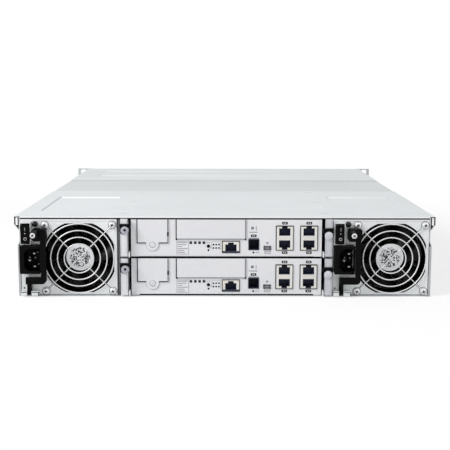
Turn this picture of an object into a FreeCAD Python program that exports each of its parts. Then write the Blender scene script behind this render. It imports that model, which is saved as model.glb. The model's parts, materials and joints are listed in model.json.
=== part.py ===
import FreeCAD, Part
import math
import os

import Sketcher

# Disk shelf enclosure, 2U high, for a 19-inch rack: twelve drive modules at the front, two
# storage controllers and two power supplies at the rear, around one upright midplane board.
# Millimetres. X runs from left to right seen from the rear, Y from the rear to the front, Z up.
# The origin is the bottom centre of the whole shelf's bounding box.

Vector = FreeCAD.Vector

# ---------------------------------------------------------------- driving dimensions

SIZES = {
    # whole shelf
    "depth": 582.0,             # rear face to the front of the ear plates
    "height": 86.1,             # underside to the top of the covers, two rack units less clearance
    "gauge": 1.0,               # steel sheet of the chassis, covers and module cases
    "fit_gap": 0.3,             # clearance between a piece and what carries it
    # chassis tray
    "tray_half": 220.4,         # centre to the outer side, below the rail shoulder
    "neck_half": 218.6,         # centre to the outer side, above the rail shoulder
    "shoulder_low": 55.3,
    "shoulder_high": 59.8,
    # covers
    "cover_half": 223.5,
    "skirt_low": 72.1,
    "skirt_bend": 76.9,
    "skirt_rise": 0.25,         # the skirt's inner bend lies this much above the outer one
    "hem_depth": 6.0,
    "hem_drop": 0.8,
    "rear_cover_end": 245.0,
    "front_cover_start": 387.0,
    "cover_seam": 0.5,
    "plate_step": 0.8,          # the middle plate lies this much lower than the covers
    "panel_near": 126.2,        # pressed panels of the rear cover, from the centre line
    "panel_far": 204.3,
    "panel_start": 47.0,
    "panel_end": 179.0,
    "press_depth": 1.0,
    "press_margin": 0.5,        # how far the pressed sheet reaches under the flat around it
    "press_corner": 3.5,
    "bead_half": 190.0,
    "bead_width": 7.0,
    "bead_rear": 456.0,
    "bead_front": 528.0,
    # rack ears
    "ear_plate": 2.5,
    "ear_low": 0.6,
    "ear_wing": 45.0,
    "ear_wing_low": 4.0,
    "ear_wing_high": 54.0,
    "ear_wing_gauge": 1.5,
    "slot_span": 465.1,
    "slot_edge": 8.75,          # from a slot's centre to the outer edge of the ear plate
    "slot_inner": 14.95,        # and to its inner edge
    "slot_wing": 11.85,         # and to the wing that lies along the chassis side
    "slot_pitch": 76.2,
    "slot_width": 7.0,
    "slot_length": 10.0,
    "grip_reach": 25.0,         # how far the pull grips stand in front of the ear plates
    "grip_thick": 9.0,
    "grip_width": 11.0,
    "grip_offset": 0.45,        # from a slot's centre to the middle of the pull grip
    "grip_low": 18.0,
    "grip_high": 68.0,
    "grip_leg": 9.0,
    # disk cage and drive modules
    "column_pitch": 108.2,
    "row_pitch": 27.2,
    "module_height": 26.0,
    "cage_sheet": 0.8,
    "cage_ledge": 3.0,
    "cage_front_setback": 6.0,
    "module_length": 214.0,
    "module_reach": 20.0,       # how far the drive modules stand in front of the ear plates
    "bezel_depth": 12.0,
    "disk_width": 101.6,
    "disk_length": 147.0,
    "disk_height": 24.6,
    "bezel_margin": 6.5,
    "bezel_vent": 2.2,
    "bezel_vent_pitch": 4.4,
    "bezel_vent_edge": 2.9,     # from the bezel's side to the first vent
    "finger_width": 34.0,
    "finger_depth": 6.0,
    "runner_low": 5.0,
    "runner_high": 13.0,
    # midplane
    "midplane_rear": 376.0,
    "midplane_thick": 2.8,
    "midplane_half": 210.0,
    "midplane_top": 83.2,
    "vent_width": 64.0,
    "vent_height": 9.0,
    "socket_width": 34.0,
    "socket_height": 9.0,
    "power_socket_width": 62.0,
    "power_socket_height": 12.0,
    "signal_socket_width": 110.0,
    "signal_socket_height": 14.0,
    # bay frame
    "divider_near": 103.4,
    "divider_far": 114.4,
    "divider_top": 84.0,
    "frame_start": 12.0,
    "frame_end": 370.0,
    # power supplies
    "psu_centre": 166.15,
    "psu_width": 102.2,
    "psu_low": 1.3,
    "psu_high": 83.3,
    "bay_length": 362.0,        # length of a power supply and of a controller
    "exhaust_width": 12.0,      # air slots in the inner end of the supply's case
    "exhaust_margin": 14.0,
    "fan_shift": 10.85,         # fan centre from the supply's middle
    "fan_height": 41.5,
    "fan_opening": 40.0,
    "fan_flat": 37.3,
    "fan_hole_pitch": 71.5,
    "fan_square": 78.0,
    "fan_depth": 25.0,
    "fan_duct": 38.2,
    "fan_strut": 5.0,
    "fan_strut_depth": 3.0,
    "hub_radius": 15.2,
    "hub_length": 17.0,
    "blade_root": 14.0,
    "blade_tip": 35.2,
    "blade_chord": 18.0,
    "blade_pitch": 38.0,
    "blade_thick": 1.6,
    "screw_radius": 1.9,
    "screw_head": 3.6,
    "screw_head_length": 1.7,
    "screw_length": 14.0,
    "hole_clearance": 0.25,
    "wire": 1.6,                # section of the guard's wires
    "ring_first": 15.6,
    "ring_step": 7.2,
    "eyelet_radius": 4.2,
    "weld_depth": 0.2,          # how far the rings sink into the crossed wires
    # power inlet
    "inlet_left": 61.2,         # left of the fan centre
    "inlet_right": 39.6,
    "inlet_low": 26.3,
    "inlet_high": 56.2,
    "inlet_reach": 12.0,
    "inlet_inset": 14.0,
    "inlet_flange": 1.2,
    "recess_width": 16.0,
    "recess_height": 24.3,
    "recess_depth": 17.0,
    "recess_chamfer": 4.5,
    "recess_centre": 48.3,      # left of the fan centre
    "pin_thick": 2.0,
    "pin_width": 4.0,
    "pin_length": 14.0,
    "pin_pitch": 14.0,
    "pin_side": 2.6,
    # rocker switch
    "switch_left": 60.1,
    "switch_right": 51.1,
    "switch_low": 58.2,
    "switch_high": 79.1,
    "switch_reach": 10.5,
    "shroud_reach": 6.5,
    "shroud_wall": 0.8,
    "switch_body": 6.0,
    "switch_tilt": 5.0,
    "switch_clearance": 0.5,
    # release lever of a power supply
    "lever_reach": 30.0,        # how far the lever's screw barrel stands behind the rear face
    "boss_left": 47.6,
    "boss_right": 32.9,
    "boss_low": 61.5,
    "boss_high": 75.0,
    "boss_radius": 3.0,
    "boss_reach": 14.0,
    "boss_back": 4.5,
    "screw_side": 43.4,         # axis of the captive screw
    "screw_height": 70.2,
    "screw_shank": 2.2,
    "screw_head": 3.2,
    "screw_sink": 1.2,
    "barrel_wall": 0.7,
    "bar_left": 38.9,
    "bar_right": 33.6,
    "bar_reach": 13.0,
    "bar_thick": 5.0,
    "bar_low": 15.5,
    "foot_left": 52.2,
    "foot_high": 22.5,
    "stem_left": 55.1,
    "stem_right": 50.7,
    "stem_back": 1.2,
    "stem_thick": 4.8,
    "lever_pivot_height": 4.6,
    "lever_pivot_radius": 1.3,
    "bracket_left": 61.3,
    "bracket_right": 42.8,
    "bracket_reach": 7.2,
    "bracket_low": 1.9,
    "bracket_high": 5.8,
    # controllers
    "ctrl_pitch": 41.9,
    "ctrl_offset": 1.6,
    "ctrl_half": 101.0,
    "ctrl_low": 1.5,
    "ctrl_high": 40.9,
    "face_half": 101.4,
    "face_low": 2.2,
    "face_high": 41.2,
    "face_tab": 8.0,
    "face_thick": 1.2,
    "ctrl_board_low": 6.6,
    "ctrl_board_thick": 1.6,
    "ctrl_board_half": 96.0,
    "standoff_width": 6.0,      # two rails under the board
    "standoff_side": 86.0,
    "standoff_inset": 30.0,
    "cover_lift": 1.0,          # thickness of the blank covers on the face
    "battery_left": 94.8,
    "battery_right": 62.8,
    "battery_low": 16.5,
    "cover_top": 41.0,
    "tab_drop": 2.2,
    "tab_radius": 6.8,
    "blank_left": 53.1,
    "blank_right": 19.9,
    "blank_low": 20.3,
    "jack_width": 18.4,
    "jack_low": 8.3,
    "jack_high": 34.6,
    "jack_first": 61.95,
    "jack_second": 87.8,
    "jack_depth": 20.5,
    "jack_proud": 0.6,
    "jack_opening": 12.0,
    "jack_mouth": 8.0,
    "jack_notch": 6.0,
    "jack_notch_height": 2.1,
    "jack_mouth_low": 11.1,     # underside of the lower mouth, above its notch
    "jack_mouth_high": 24.0,    # underside of the upper mouth
    "jack_recess": 14.0,
    "service_jack_centre": 4.75,
    "service_jack_low": 5.5,
    "service_jack_high": 18.0,
    "service_mouth_low": 6.6,
    "expansion_centre": 29.15,
    "expansion_width": 11.1,
    "expansion_low": 8.6,
    "expansion_high": 20.1,
    "expansion_wall": 0.5,
    "usb_centre": 43.55,
    "usb_width": 7.5,
    "usb_high": 12.7,
    "usb_wall": 0.5,
    "usb_depth": 9.0,
    "button_left": 19.2,
    "button_height": 12.6,
    "button_radius": 1.5,
    "button_reach": 1.0,
    "button_length": 8.0,
    "button_collar": 2.4,
    # ejectors of a controller
    "ejector_side": 108.5,
    "ejector_width": 7.4,
    "ejector_depth": 6.0,
    "ejector_low": 1.2,
    "ejector_high": 42.0,
    "ejector_back": 0.4,
    "ejector_pin": 1.2,
    "pin_fit": 0.06,
    "lug_near": 102.4,
    "lug_thick": 1.2,
    "latch_thick": 2.0,
    "latch_left_low": 33.3,
    "latch_left_high": 37.4,
    "latch_right_low": 27.9,
    "latch_right_high": 33.1,
    "latch_near": 102.0,
    "latch_far": 113.0,
    "latch_boss": 4.4,
    "latch_boss_drop": 2.7,
}

COLUMNS = 4
ROWS = 3
BEZEL_VENTS = 4
BLADES = 7
RINGS = 4
RING_SIDES = 32
EXHAUST_SLOTS = 4


class Term:
    """A length that knows its present value and its spreadsheet expression."""

    def __init__(self, value, text):
        self.value = value
        self.text = text

    def __add__(self, other):
        other = term(other)
        return Term(self.value + other.value, f"({self.text} + {other.text})")

    def __sub__(self, other):
        other = term(other)
        return Term(self.value - other.value, f"({self.text} - {other.text})")

    def __mul__(self, other):
        other = term(other)
        return Term(self.value * other.value, f"({self.text} * {other.text})")

    def __truediv__(self, other):
        other = term(other)
        return Term(self.value / other.value, f"({self.text} / {other.text})")

    def __neg__(self):
        return Term(-self.value, f"(0 - {self.text})")

    def __radd__(self, other):
        return term(other) + self

    def __rsub__(self, other):
        return term(other) - self

    def __rmul__(self, other):
        return term(other) * self


def term(number):
    """Wrap a plain number so that it joins an expression."""
    if isinstance(number, Term):
        return number
    return Term(float(number), repr(float(number)))


def sine(angle):
    return Term(math.sin(math.radians(angle.value)), f"sin({angle.text})")


def cosine(angle):
    return Term(math.cos(math.radians(angle.value)), f"cos({angle.text})")


class SheetTerms:
    """Attribute access to the driving dimensions as terms."""

    def __getattr__(self, name):
        return Term(SIZES[name], f"Sizes.{name}")


S = SheetTerms()


def make_sheet(doc):
    sheet = doc.addObject("Spreadsheet::Sheet", "Sizes")
    for row, (alias, value) in enumerate(SIZES.items(), 1):
        sheet.set(f"A{row}", alias)
        sheet.set(f"B{row}", str(value))
        sheet.setAlias(f"B{row}", alias)
    doc.recompute()
    return sheet


DOC = FreeCAD.newDocument("disk_shelf_enclosure")
SHEET = make_sheet(DOC)

# Places that several pieces share.
REAR = (S.lever_reach - S.depth - S.grip_reach) / 2     # rear face, from the origin
MIDPLANE_FRONT = S.midplane_rear + S.midplane_thick
CAGE_START = MIDPLANE_FRONT + S.fit_gap
CAGE_FLOOR = S.gauge + S.cage_sheet
TRAY_FRONT = S.depth - S.ear_plate - S.fit_gap
FIRST_ROW = CAGE_FLOOR + S.fit_gap
CAGE_TOP = FIRST_ROW + S.row_pitch * (ROWS - 1) + S.module_height + S.fit_gap + S.cage_sheet
MODULE_WIDTH = S.column_pitch - S.cage_sheet - S.fit_gap * 2
MODULE_REAR = S.depth + S.module_reach - S.module_length
BOARD_TOP = S.ctrl_board_low + S.ctrl_board_thick
EAR_MIDDLE = S.height / 2
EJECTOR_PIVOT_Y = -(S.ejector_depth / 2 + S.ejector_back)
EJECTOR_PIVOT_Z = S.ejector_low + S.ejector_depth / 2

# ---------------------------------------------------------------- modelling helpers

PARTS = []

# For each origin plane: does a pad along the positive axis have to be reversed, and which way
# the attachment offset runs. The normal of XZ_Plane points to -Y, the others to their + axis.
PLANES = {
    "XY_Plane": {"reverse_pad": False, "offset_sign": 1},
    "XZ_Plane": {"reverse_pad": True, "offset_sign": -1},
    "YZ_Plane": {"reverse_pad": False, "offset_sign": 1},
}


def new_body(label):
    body = DOC.addObject("PartDesign::Body", label)
    body.Label = label
    PARTS.append(body)
    return body


def origin_feature(body, role):
    return [feature for feature in body.Origin.OriginFeatures if feature.Role == role][0]


def new_sketch(body, plane, start):
    """An empty sketch on an origin plane of its own body, moved along the plane's + axis."""
    sketch = body.newObject("Sketcher::SketchObject", f"{body.Name}_sketch")
    sketch.AttachmentSupport = [(origin_feature(body, plane), "")]
    sketch.MapMode = "FlatFace"
    offset = term(start) * PLANES[plane]["offset_sign"]
    sketch.setExpression(".AttachmentOffset.Base.z", offset.text)
    return sketch


def tie_point(sketch, geometry, end, place):
    """Tie both coordinates of one geometry point to the sheet."""
    for kind, coordinate in zip(("DistanceX", "DistanceY"), place):
        coordinate = term(coordinate)
        rule = Sketcher.Constraint(kind, -1, 1, geometry, end, coordinate.value)
        index = sketch.addConstraint(rule)
        sketch.setExpression(f"Constraints[{index}]", coordinate.text)


def tie_centre(sketch, geometry, start, end, centre):
    """Tie an arc's centre along the direction in which its two ends leave it free."""
    across = abs(term(end[0]).value - term(start[0]).value)
    up = abs(term(end[1]).value - term(start[1]).value)
    kind, coordinate = ("DistanceX", centre[0]) if across < up else ("DistanceY", centre[1])
    coordinate = term(coordinate)
    rule = sketch.addConstraint(Sketcher.Constraint(kind, -1, 1, geometry, 3, coordinate.value))
    sketch.setExpression(f"Constraints[{rule}]", coordinate.text)


def add_loop(sketch, points):
    """A closed loop of straight lines through corner points."""
    corners = [Vector(term(x).value, term(y).value, 0) for x, y in points]
    count = len(points)
    first = sketch.GeometryCount
    for index, corner in enumerate(corners):
        sketch.addGeometry(Part.LineSegment(corner, corners[(index + 1) % count]))
    for index in range(count):
        follower = first + (index + 1) % count
        sketch.addConstraint(Sketcher.Constraint("Coincident", first + index, 2, follower, 1))
    for index, point in enumerate(points):
        tie_point(sketch, first + index, 1, point)


def add_box(sketch, left, right, low, high):
    add_loop(sketch, [(left, low), (right, low), (right, high), (left, high)])


def add_circle(sketch, centre, radius):
    radius = term(radius)
    place = Vector(term(centre[0]).value, term(centre[1]).value, 0)
    index = sketch.addGeometry(Part.Circle(place, Vector(0, 0, 1), radius.value))
    tie_point(sketch, index, 3, centre)
    rule = sketch.addConstraint(Sketcher.Constraint("Radius", index, radius.value))
    sketch.setExpression(f"Constraints[{rule}]", radius.text)


def add_arc_chain(sketch, pieces):
    """A closed loop of lines and arcs. Each piece is (end point, None) for a straight line or
    (end point, (centre, radius, turn)) for an arc; turn is 1 against the clock and -1 with it."""
    first = sketch.GeometryCount
    count = len(pieces)
    for index, (_, arc) in enumerate(pieces):
        start = [term(value).value for value in pieces[index - 1][0]]
        end = [term(value).value for value in pieces[index][0]]
        if arc is None:
            line = Part.LineSegment(Vector(start[0], start[1], 0), Vector(end[0], end[1], 0))
            sketch.addGeometry(line)
            continue
        centre, radius, turn = arc
        middle = [term(value).value for value in centre]
        angles = [math.atan2(point[1] - middle[1], point[0] - middle[0]) for point in (start, end)]
        if turn < 0:
            angles.reverse()
        circle = Part.Circle(Vector(middle[0], middle[1], 0), Vector(0, 0, 1), term(radius).value)
        sketch.addGeometry(Part.ArcOfCircle(circle, angles[0], angles[1]))
    for index, (_, arc) in enumerate(pieces):
        own_end = 1 if arc is not None and arc[2] < 0 else 2
        following = pieces[(index + 1) % count][1]
        next_start = 2 if following is not None and following[2] < 0 else 1
        follower = first + (index + 1) % count
        rule = Sketcher.Constraint("Coincident", first + index, own_end, follower, next_start)
        sketch.addConstraint(rule)
        tie_point(sketch, first + index, own_end, pieces[index][0])
        if arc is not None:
            tie_centre(sketch, first + index, pieces[index - 1][0], pieces[index][0], arc[0])


def add_round_box(sketch, left, right, low, high, radius):
    """A rectangle with four round corners."""
    left, right, low, high = term(left), term(right), term(low), term(high)
    add_arc_chain(sketch, [
        ((left + radius, low), ((left + radius, low + radius), radius, 1)),
        ((right - radius, low), None),
        ((right, low + radius), ((right - radius, low + radius), radius, 1)),
        ((right, high - radius), None),
        ((right - radius, high), ((right - radius, high - radius), radius, 1)),
        ((left + radius, high), None),
        ((left, high - radius), ((left + radius, high - radius), radius, 1)),
        ((left, low + radius), None),
    ])


def pad(body, sketch, plane, length):
    """Add material from the sketch along the plane's + axis."""
    feature = body.newObject("PartDesign::Pad", f"{body.Name}_pad")
    feature.Profile = sketch
    feature.Reversed = PLANES[plane]["reverse_pad"]
    feature.setExpression("Length", term(length).text)
    body.Tip = feature
    return feature


def pocket(body, sketch, plane, length):
    """Remove material from the sketch along the plane's + axis."""
    feature = body.newObject("PartDesign::Pocket", f"{body.Name}_pocket")
    feature.Profile = sketch
    feature.Reversed = not PLANES[plane]["reverse_pad"]
    feature.setExpression("Length", term(length).text)
    body.Tip = feature
    return feature


def place(part, x=0, y=0, z=0):
    """Put a part at a place counted from the rear face on the shelf's centre line."""
    part.setExpression(".Placement.Base.x", term(x).text)
    part.setExpression(".Placement.Base.y", (REAR + y).text)
    part.setExpression(".Placement.Base.z", term(z).text)


def mirror_outline(points):
    """Close an outline drawn for the right half with its mirror image on the left."""
    return points + [(-x, z) for x, z in reversed(points)]


def solid_box(name, x, y, z):
    """A Part::Box from three (low, high) pairs."""
    box = DOC.addObject("Part::Box", name)
    for axis, side, (low, high) in zip("xyz", ("Length", "Width", "Height"), (x, y, z)):
        box.setExpression(side, (term(high) - low).text)
        box.setExpression(f".Placement.Base.{axis}", term(low).text)
    return box


def compound(label, pieces):
    group = DOC.addObject("Part::Compound", label)
    group.Label = label
    group.Links = pieces
    PARTS.append(group)
    return group


# ---------------------------------------------------------------- chassis


def chassis_tray():
    """Floor and side walls folded from one sheet, with the shoulder that the rack rails follow."""
    body = new_body("chassis_tray")
    low = S.tray_half
    neck = S.neck_half
    top = S.height - S.plate_step - S.gauge - S.fit_gap
    sketch = new_sketch(body, "XZ_Plane", 0)
    add_loop(sketch, mirror_outline([
        (low, 0),
        (low, S.shoulder_low),
        (neck, S.shoulder_high),
        (neck, top),
        (neck - S.gauge, top),
        (neck - S.gauge, S.shoulder_high),
        (low - S.gauge, S.shoulder_low),
        (low - S.gauge, S.gauge),
    ]))
    pad(body, sketch, "XZ_Plane", TRAY_FRONT)
    place(body)
    return body


def cover_profile(sketch, top):
    """Section of a top sheet: flat top, upright sides, and a skirt that turns in to the tray."""
    gauge = S.gauge
    skirt = S.neck_half + S.fit_gap
    side = S.cover_half
    add_loop(sketch, mirror_outline([
        (side, top),
        (side, S.skirt_bend),
        (skirt + gauge, S.skirt_low),
        (skirt, S.skirt_low),
        (side - gauge, S.skirt_bend + S.skirt_rise),
        (side - gauge, top - gauge),
    ]))


def cover_sheet(label, start, end, top):
    body = new_body(label)
    sketch = new_sketch(body, "XZ_Plane", start)
    cover_profile(sketch, top)
    pad(body, sketch, "XZ_Plane", term(end) - start)
    place(body)
    return body


def press(body, shapes, top):
    """Press flat shapes down: the sheet is thickened below and sunk by the same depth."""
    under = new_sketch(body, "XY_Plane", top - S.gauge - S.press_depth)
    sunk = new_sketch(body, "XY_Plane", top - S.press_depth)
    for left, right, start, end, radius in shapes:
        margin = S.press_margin
        add_box(under, left - margin, right + margin, start - margin, end + margin)
        add_round_box(sunk, left, right, start, end, radius)
    pad(body, under, "XY_Plane", S.press_depth + S.gauge / 2)
    pocket(body, sunk, "XY_Plane", S.press_depth * 2)


def rear_cover():
    """Removable cover over the rear bays, with two pressed panels and a hemmed rear edge."""
    body = cover_sheet("rear_cover", 0, S.rear_cover_end, S.height)
    press(body, [
        (S.panel_near, S.panel_far, S.panel_start, S.panel_end, S.press_corner),
        (-S.panel_far, -S.panel_near, S.panel_start, S.panel_end, S.press_corner),
    ], S.height)
    hem = new_sketch(body, "YZ_Plane", S.gauge - S.cover_half)
    under = S.height - S.gauge
    add_box(hem, 0, S.hem_depth, under - S.hem_drop, under + S.gauge / 2)
    pad(body, hem, "YZ_Plane", (S.cover_half - S.gauge) * 2)


def middle_plate():
    """Fixed plate across the chassis between the two covers, a little lower than they are."""
    cover_sheet("middle_plate", S.rear_cover_end + S.cover_seam,
                S.front_cover_start - S.cover_seam, S.height - S.plate_step)


def front_cover():
    """Cover over the disk cage, stiffened by two long pressed beads."""
    body = cover_sheet("front_cover", S.front_cover_start, TRAY_FRONT, S.height)
    radius = S.bead_width / 2 - S.fit_gap
    press(body, [
        (-S.bead_half, S.bead_half, centre - S.bead_width / 2, centre + S.bead_width / 2, radius)
        for centre in (S.bead_rear, S.bead_front)
    ], S.height)


def bay_frame():
    """Two hollow dividers and the shelf between them, spot-welded into one frame."""
    body = new_body("bay_frame")
    near, far, gauge, top = S.divider_near, S.divider_far, S.gauge, S.divider_top
    shelf = S.ctrl_pitch + S.ctrl_low - S.fit_gap
    sketch = new_sketch(body, "XZ_Plane", S.frame_start)
    add_loop(sketch, mirror_outline([
        (near, shelf),
        (near, top),
        (far, top),
        (far, gauge),
        (far - gauge, gauge),
        (far - gauge, top - gauge),
        (near + gauge, top - gauge),
        (near + gauge, gauge),
        (near, gauge),
        (near, shelf - gauge),
    ]))
    pad(body, sketch, "XZ_Plane", S.frame_end - S.frame_start)
    place(body)


def column_centre(column):
    return S.column_pitch * (column - (COLUMNS - 1) / 2)


def row_height(row):
    return FIRST_ROW + S.row_pitch * row


def disk_cage():
    """Four columns side by side; each has two ledges a side that carry the upper modules."""
    body = new_body("disk_cage")
    sheet = S.cage_sheet
    half_cage = S.column_pitch * COLUMNS / 2 + sheet / 2
    sketch = new_sketch(body, "XZ_Plane", CAGE_START)
    add_box(sketch, -half_cage, half_cage, S.gauge, CAGE_TOP)
    for column in range(COLUMNS):
        centre = column_centre(column)
        half = (S.column_pitch - sheet) / 2
        side = [(half, CAGE_FLOOR)]
        for row in range(1, ROWS):
            ledge_top = row_height(row) - S.fit_gap
            ledge_low = ledge_top - (S.row_pitch - S.module_height - S.fit_gap * 2)
            side += [
                (half, ledge_low),
                (half - S.cage_ledge, ledge_low),
                (half - S.cage_ledge, ledge_top),
                (half, ledge_top),
            ]
        side.append((half, CAGE_TOP - sheet))
        add_loop(sketch, [(centre + x, z) for x, z in side]
                 + [(centre - x, z) for x, z in reversed(side)])
    pad(body, sketch, "XZ_Plane", S.depth - S.cage_front_setback - CAGE_START)
    place(body)


def midplane_board():
    """Circuit board across the chassis; its slots let the cooling air through."""
    body = new_body("midplane_board")
    sketch = new_sketch(body, "XZ_Plane", S.midplane_rear)
    add_box(sketch, -S.midplane_half, S.midplane_half, S.gauge + S.fit_gap, S.midplane_top)
    for column in range(COLUMNS):
        centre = column_centre(column)
        for row in range(1, ROWS):
            middle = row_height(row)
            add_box(sketch, centre - S.vent_width / 2, centre + S.vent_width / 2,
                    middle - S.vent_height / 2, middle + S.vent_height / 2)
    pad(body, sketch, "XZ_Plane", S.midplane_thick)
    place(body)


def board_sockets():
    """Sockets on the midplane: twelve for drives in front, four for the modules behind."""
    sockets = []
    for column in range(COLUMNS):
        centre = column_centre(column)
        for row in range(ROWS):
            middle = row_height(row) + S.module_height / 2
            sockets.append(solid_box(
                f"drive_socket_{column}_{row}",
                (centre - S.socket_width / 2, centre + S.socket_width / 2),
                (MIDPLANE_FRONT, MODULE_REAR - S.fit_gap),
                (middle - S.socket_height / 2, middle + S.socket_height / 2),
            ))
    behind = (S.bay_length + S.fit_gap, S.midplane_rear)
    for side, sign in (("left", -1), ("right", 1)):
        centre = S.psu_centre * sign
        sockets.append(solid_box(
            f"power_socket_{side}",
            (centre - S.power_socket_width / 2, centre + S.power_socket_width / 2),
            behind,
            (S.fan_height - S.power_socket_height / 2, S.fan_height + S.power_socket_height / 2),
        ))
    for index in range(2):
        low = BOARD_TOP + S.ctrl_pitch * index
        sockets.append(solid_box(
            f"signal_socket_{index}",
            (S.ctrl_offset - S.signal_socket_width / 2, S.ctrl_offset + S.signal_socket_width / 2),
            behind,
            (low, low + S.signal_socket_height),
        ))
    place(compound("board_sockets", sockets))


def mounting_ear(side, sign):
    """Rack ear: slotted plate, wing along the chassis side and a pull grip."""
    body = new_body(f"mounting_ear_{side}")

    def across(near, far):
        """Left and right edge of a stretch given from the centre line outwards."""
        return (near, far) if sign > 0 else (-far, -near)

    slot = S.slot_span / 2
    plate = new_sketch(body, "XZ_Plane", S.depth - S.ear_plate)
    left, right = across(slot - S.slot_inner, slot + S.slot_edge)
    add_box(plate, left, right, S.ear_low, S.height)
    radius = S.slot_width / 2
    straight = (S.slot_length - S.slot_width) / 2
    for end in (-1, 1):
        middle_x = slot * sign
        middle_z = EAR_MIDDLE + S.slot_pitch / 2 * end
        add_arc_chain(plate, [
            ((middle_x - straight, middle_z - radius), ((middle_x - straight, middle_z), radius, 1)),
            ((middle_x + straight, middle_z - radius), None),
            ((middle_x + straight, middle_z + radius), ((middle_x + straight, middle_z), radius, 1)),
            ((middle_x - straight, middle_z + radius), None),
        ])
    pad(body, plate, "XZ_Plane", S.ear_plate)

    wing = new_sketch(body, "XY_Plane", S.ear_wing_low)
    near = slot - S.slot_wing
    left, right = across(near, near + S.ear_wing_gauge)
    add_box(wing, left, right, S.depth - S.ear_wing, S.depth - S.ear_plate / 2)
    pad(body, wing, "XY_Plane", S.ear_wing_high - S.ear_wing_low)

    grip_middle = slot + S.grip_offset
    left, _ = across(grip_middle - S.grip_width / 2, grip_middle + S.grip_width / 2)
    grip = new_sketch(body, "YZ_Plane", left)
    front = S.depth + S.grip_reach
    back = S.depth - S.ear_plate / 2
    bend = S.grip_thick / 2
    add_arc_chain(grip, [
        ((back, S.grip_low), None),
        ((front - bend, S.grip_low), None),
        ((front, S.grip_low + bend), ((front - bend, S.grip_low + bend), bend, 1)),
        ((front, S.grip_high - bend), None),
        ((front - bend, S.grip_high), ((front - bend, S.grip_high - bend), bend, 1)),
        ((back, S.grip_high), None),
        ((back, S.grip_high - S.grip_leg), None),
        ((front - S.grip_thick, S.grip_high - S.grip_leg), None),
        ((front - S.grip_thick, S.grip_low + S.grip_leg), None),
        ((back, S.grip_low + S.grip_leg), None),
    ])
    pad(body, grip, "YZ_Plane", S.grip_width)
    place(body)


# ---------------------------------------------------------------- drive modules


def drive_module(number, column, row):
    """Hot-plug carrier with its 3.5-inch disk; the release lever lies closed in the bezel."""
    body = new_body(f"drive_module_{number:02d}")
    half = MODULE_WIDTH / 2
    disk = new_sketch(body, "XZ_Plane", S.module_reach - S.module_length)
    rise = (S.module_height - S.disk_height) / 2
    disk_half = S.disk_width / 2
    add_box(disk, -disk_half, disk_half, rise, rise + S.disk_height)
    pad(body, disk, "XZ_Plane", S.disk_length)

    carrier = new_sketch(body, "XY_Plane", S.runner_low)
    rear = S.module_reach - S.module_length
    bezel = S.module_reach - S.bezel_depth
    wall = half - disk_half
    add_loop(carrier, [
        (-half, rear), (wall - half, rear), (wall - half, bezel - wall), (half - wall, bezel - wall),
        (half - wall, rear), (half, rear), (half, bezel), (-half, bezel),
    ])
    pad(body, carrier, "XY_Plane", S.runner_high - S.runner_low)

    front = new_sketch(body, "XZ_Plane", bezel)
    add_box(front, -half, half, 0, S.module_height)
    pad(body, front, "XZ_Plane", S.bezel_depth)

    low, high = S.bezel_margin, S.module_height - S.bezel_margin
    vents = new_sketch(body, "XZ_Plane", bezel)
    for slot in range(BEZEL_VENTS):
        right = half - S.bezel_vent_edge - S.bezel_vent_pitch * slot
        add_box(vents, right - S.bezel_vent, right, low, high)
    pocket(body, vents, "XZ_Plane", S.bezel_depth)

    finger = new_sketch(body, "XZ_Plane", S.module_reach - S.finger_depth)
    add_box(finger, wall - half, wall - half + S.finger_width, low, high)
    pocket(body, finger, "XZ_Plane", S.finger_depth)
    place(body, column_centre(column), S.depth, row_height(row))


# ---------------------------------------------------------------- power supplies


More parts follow.
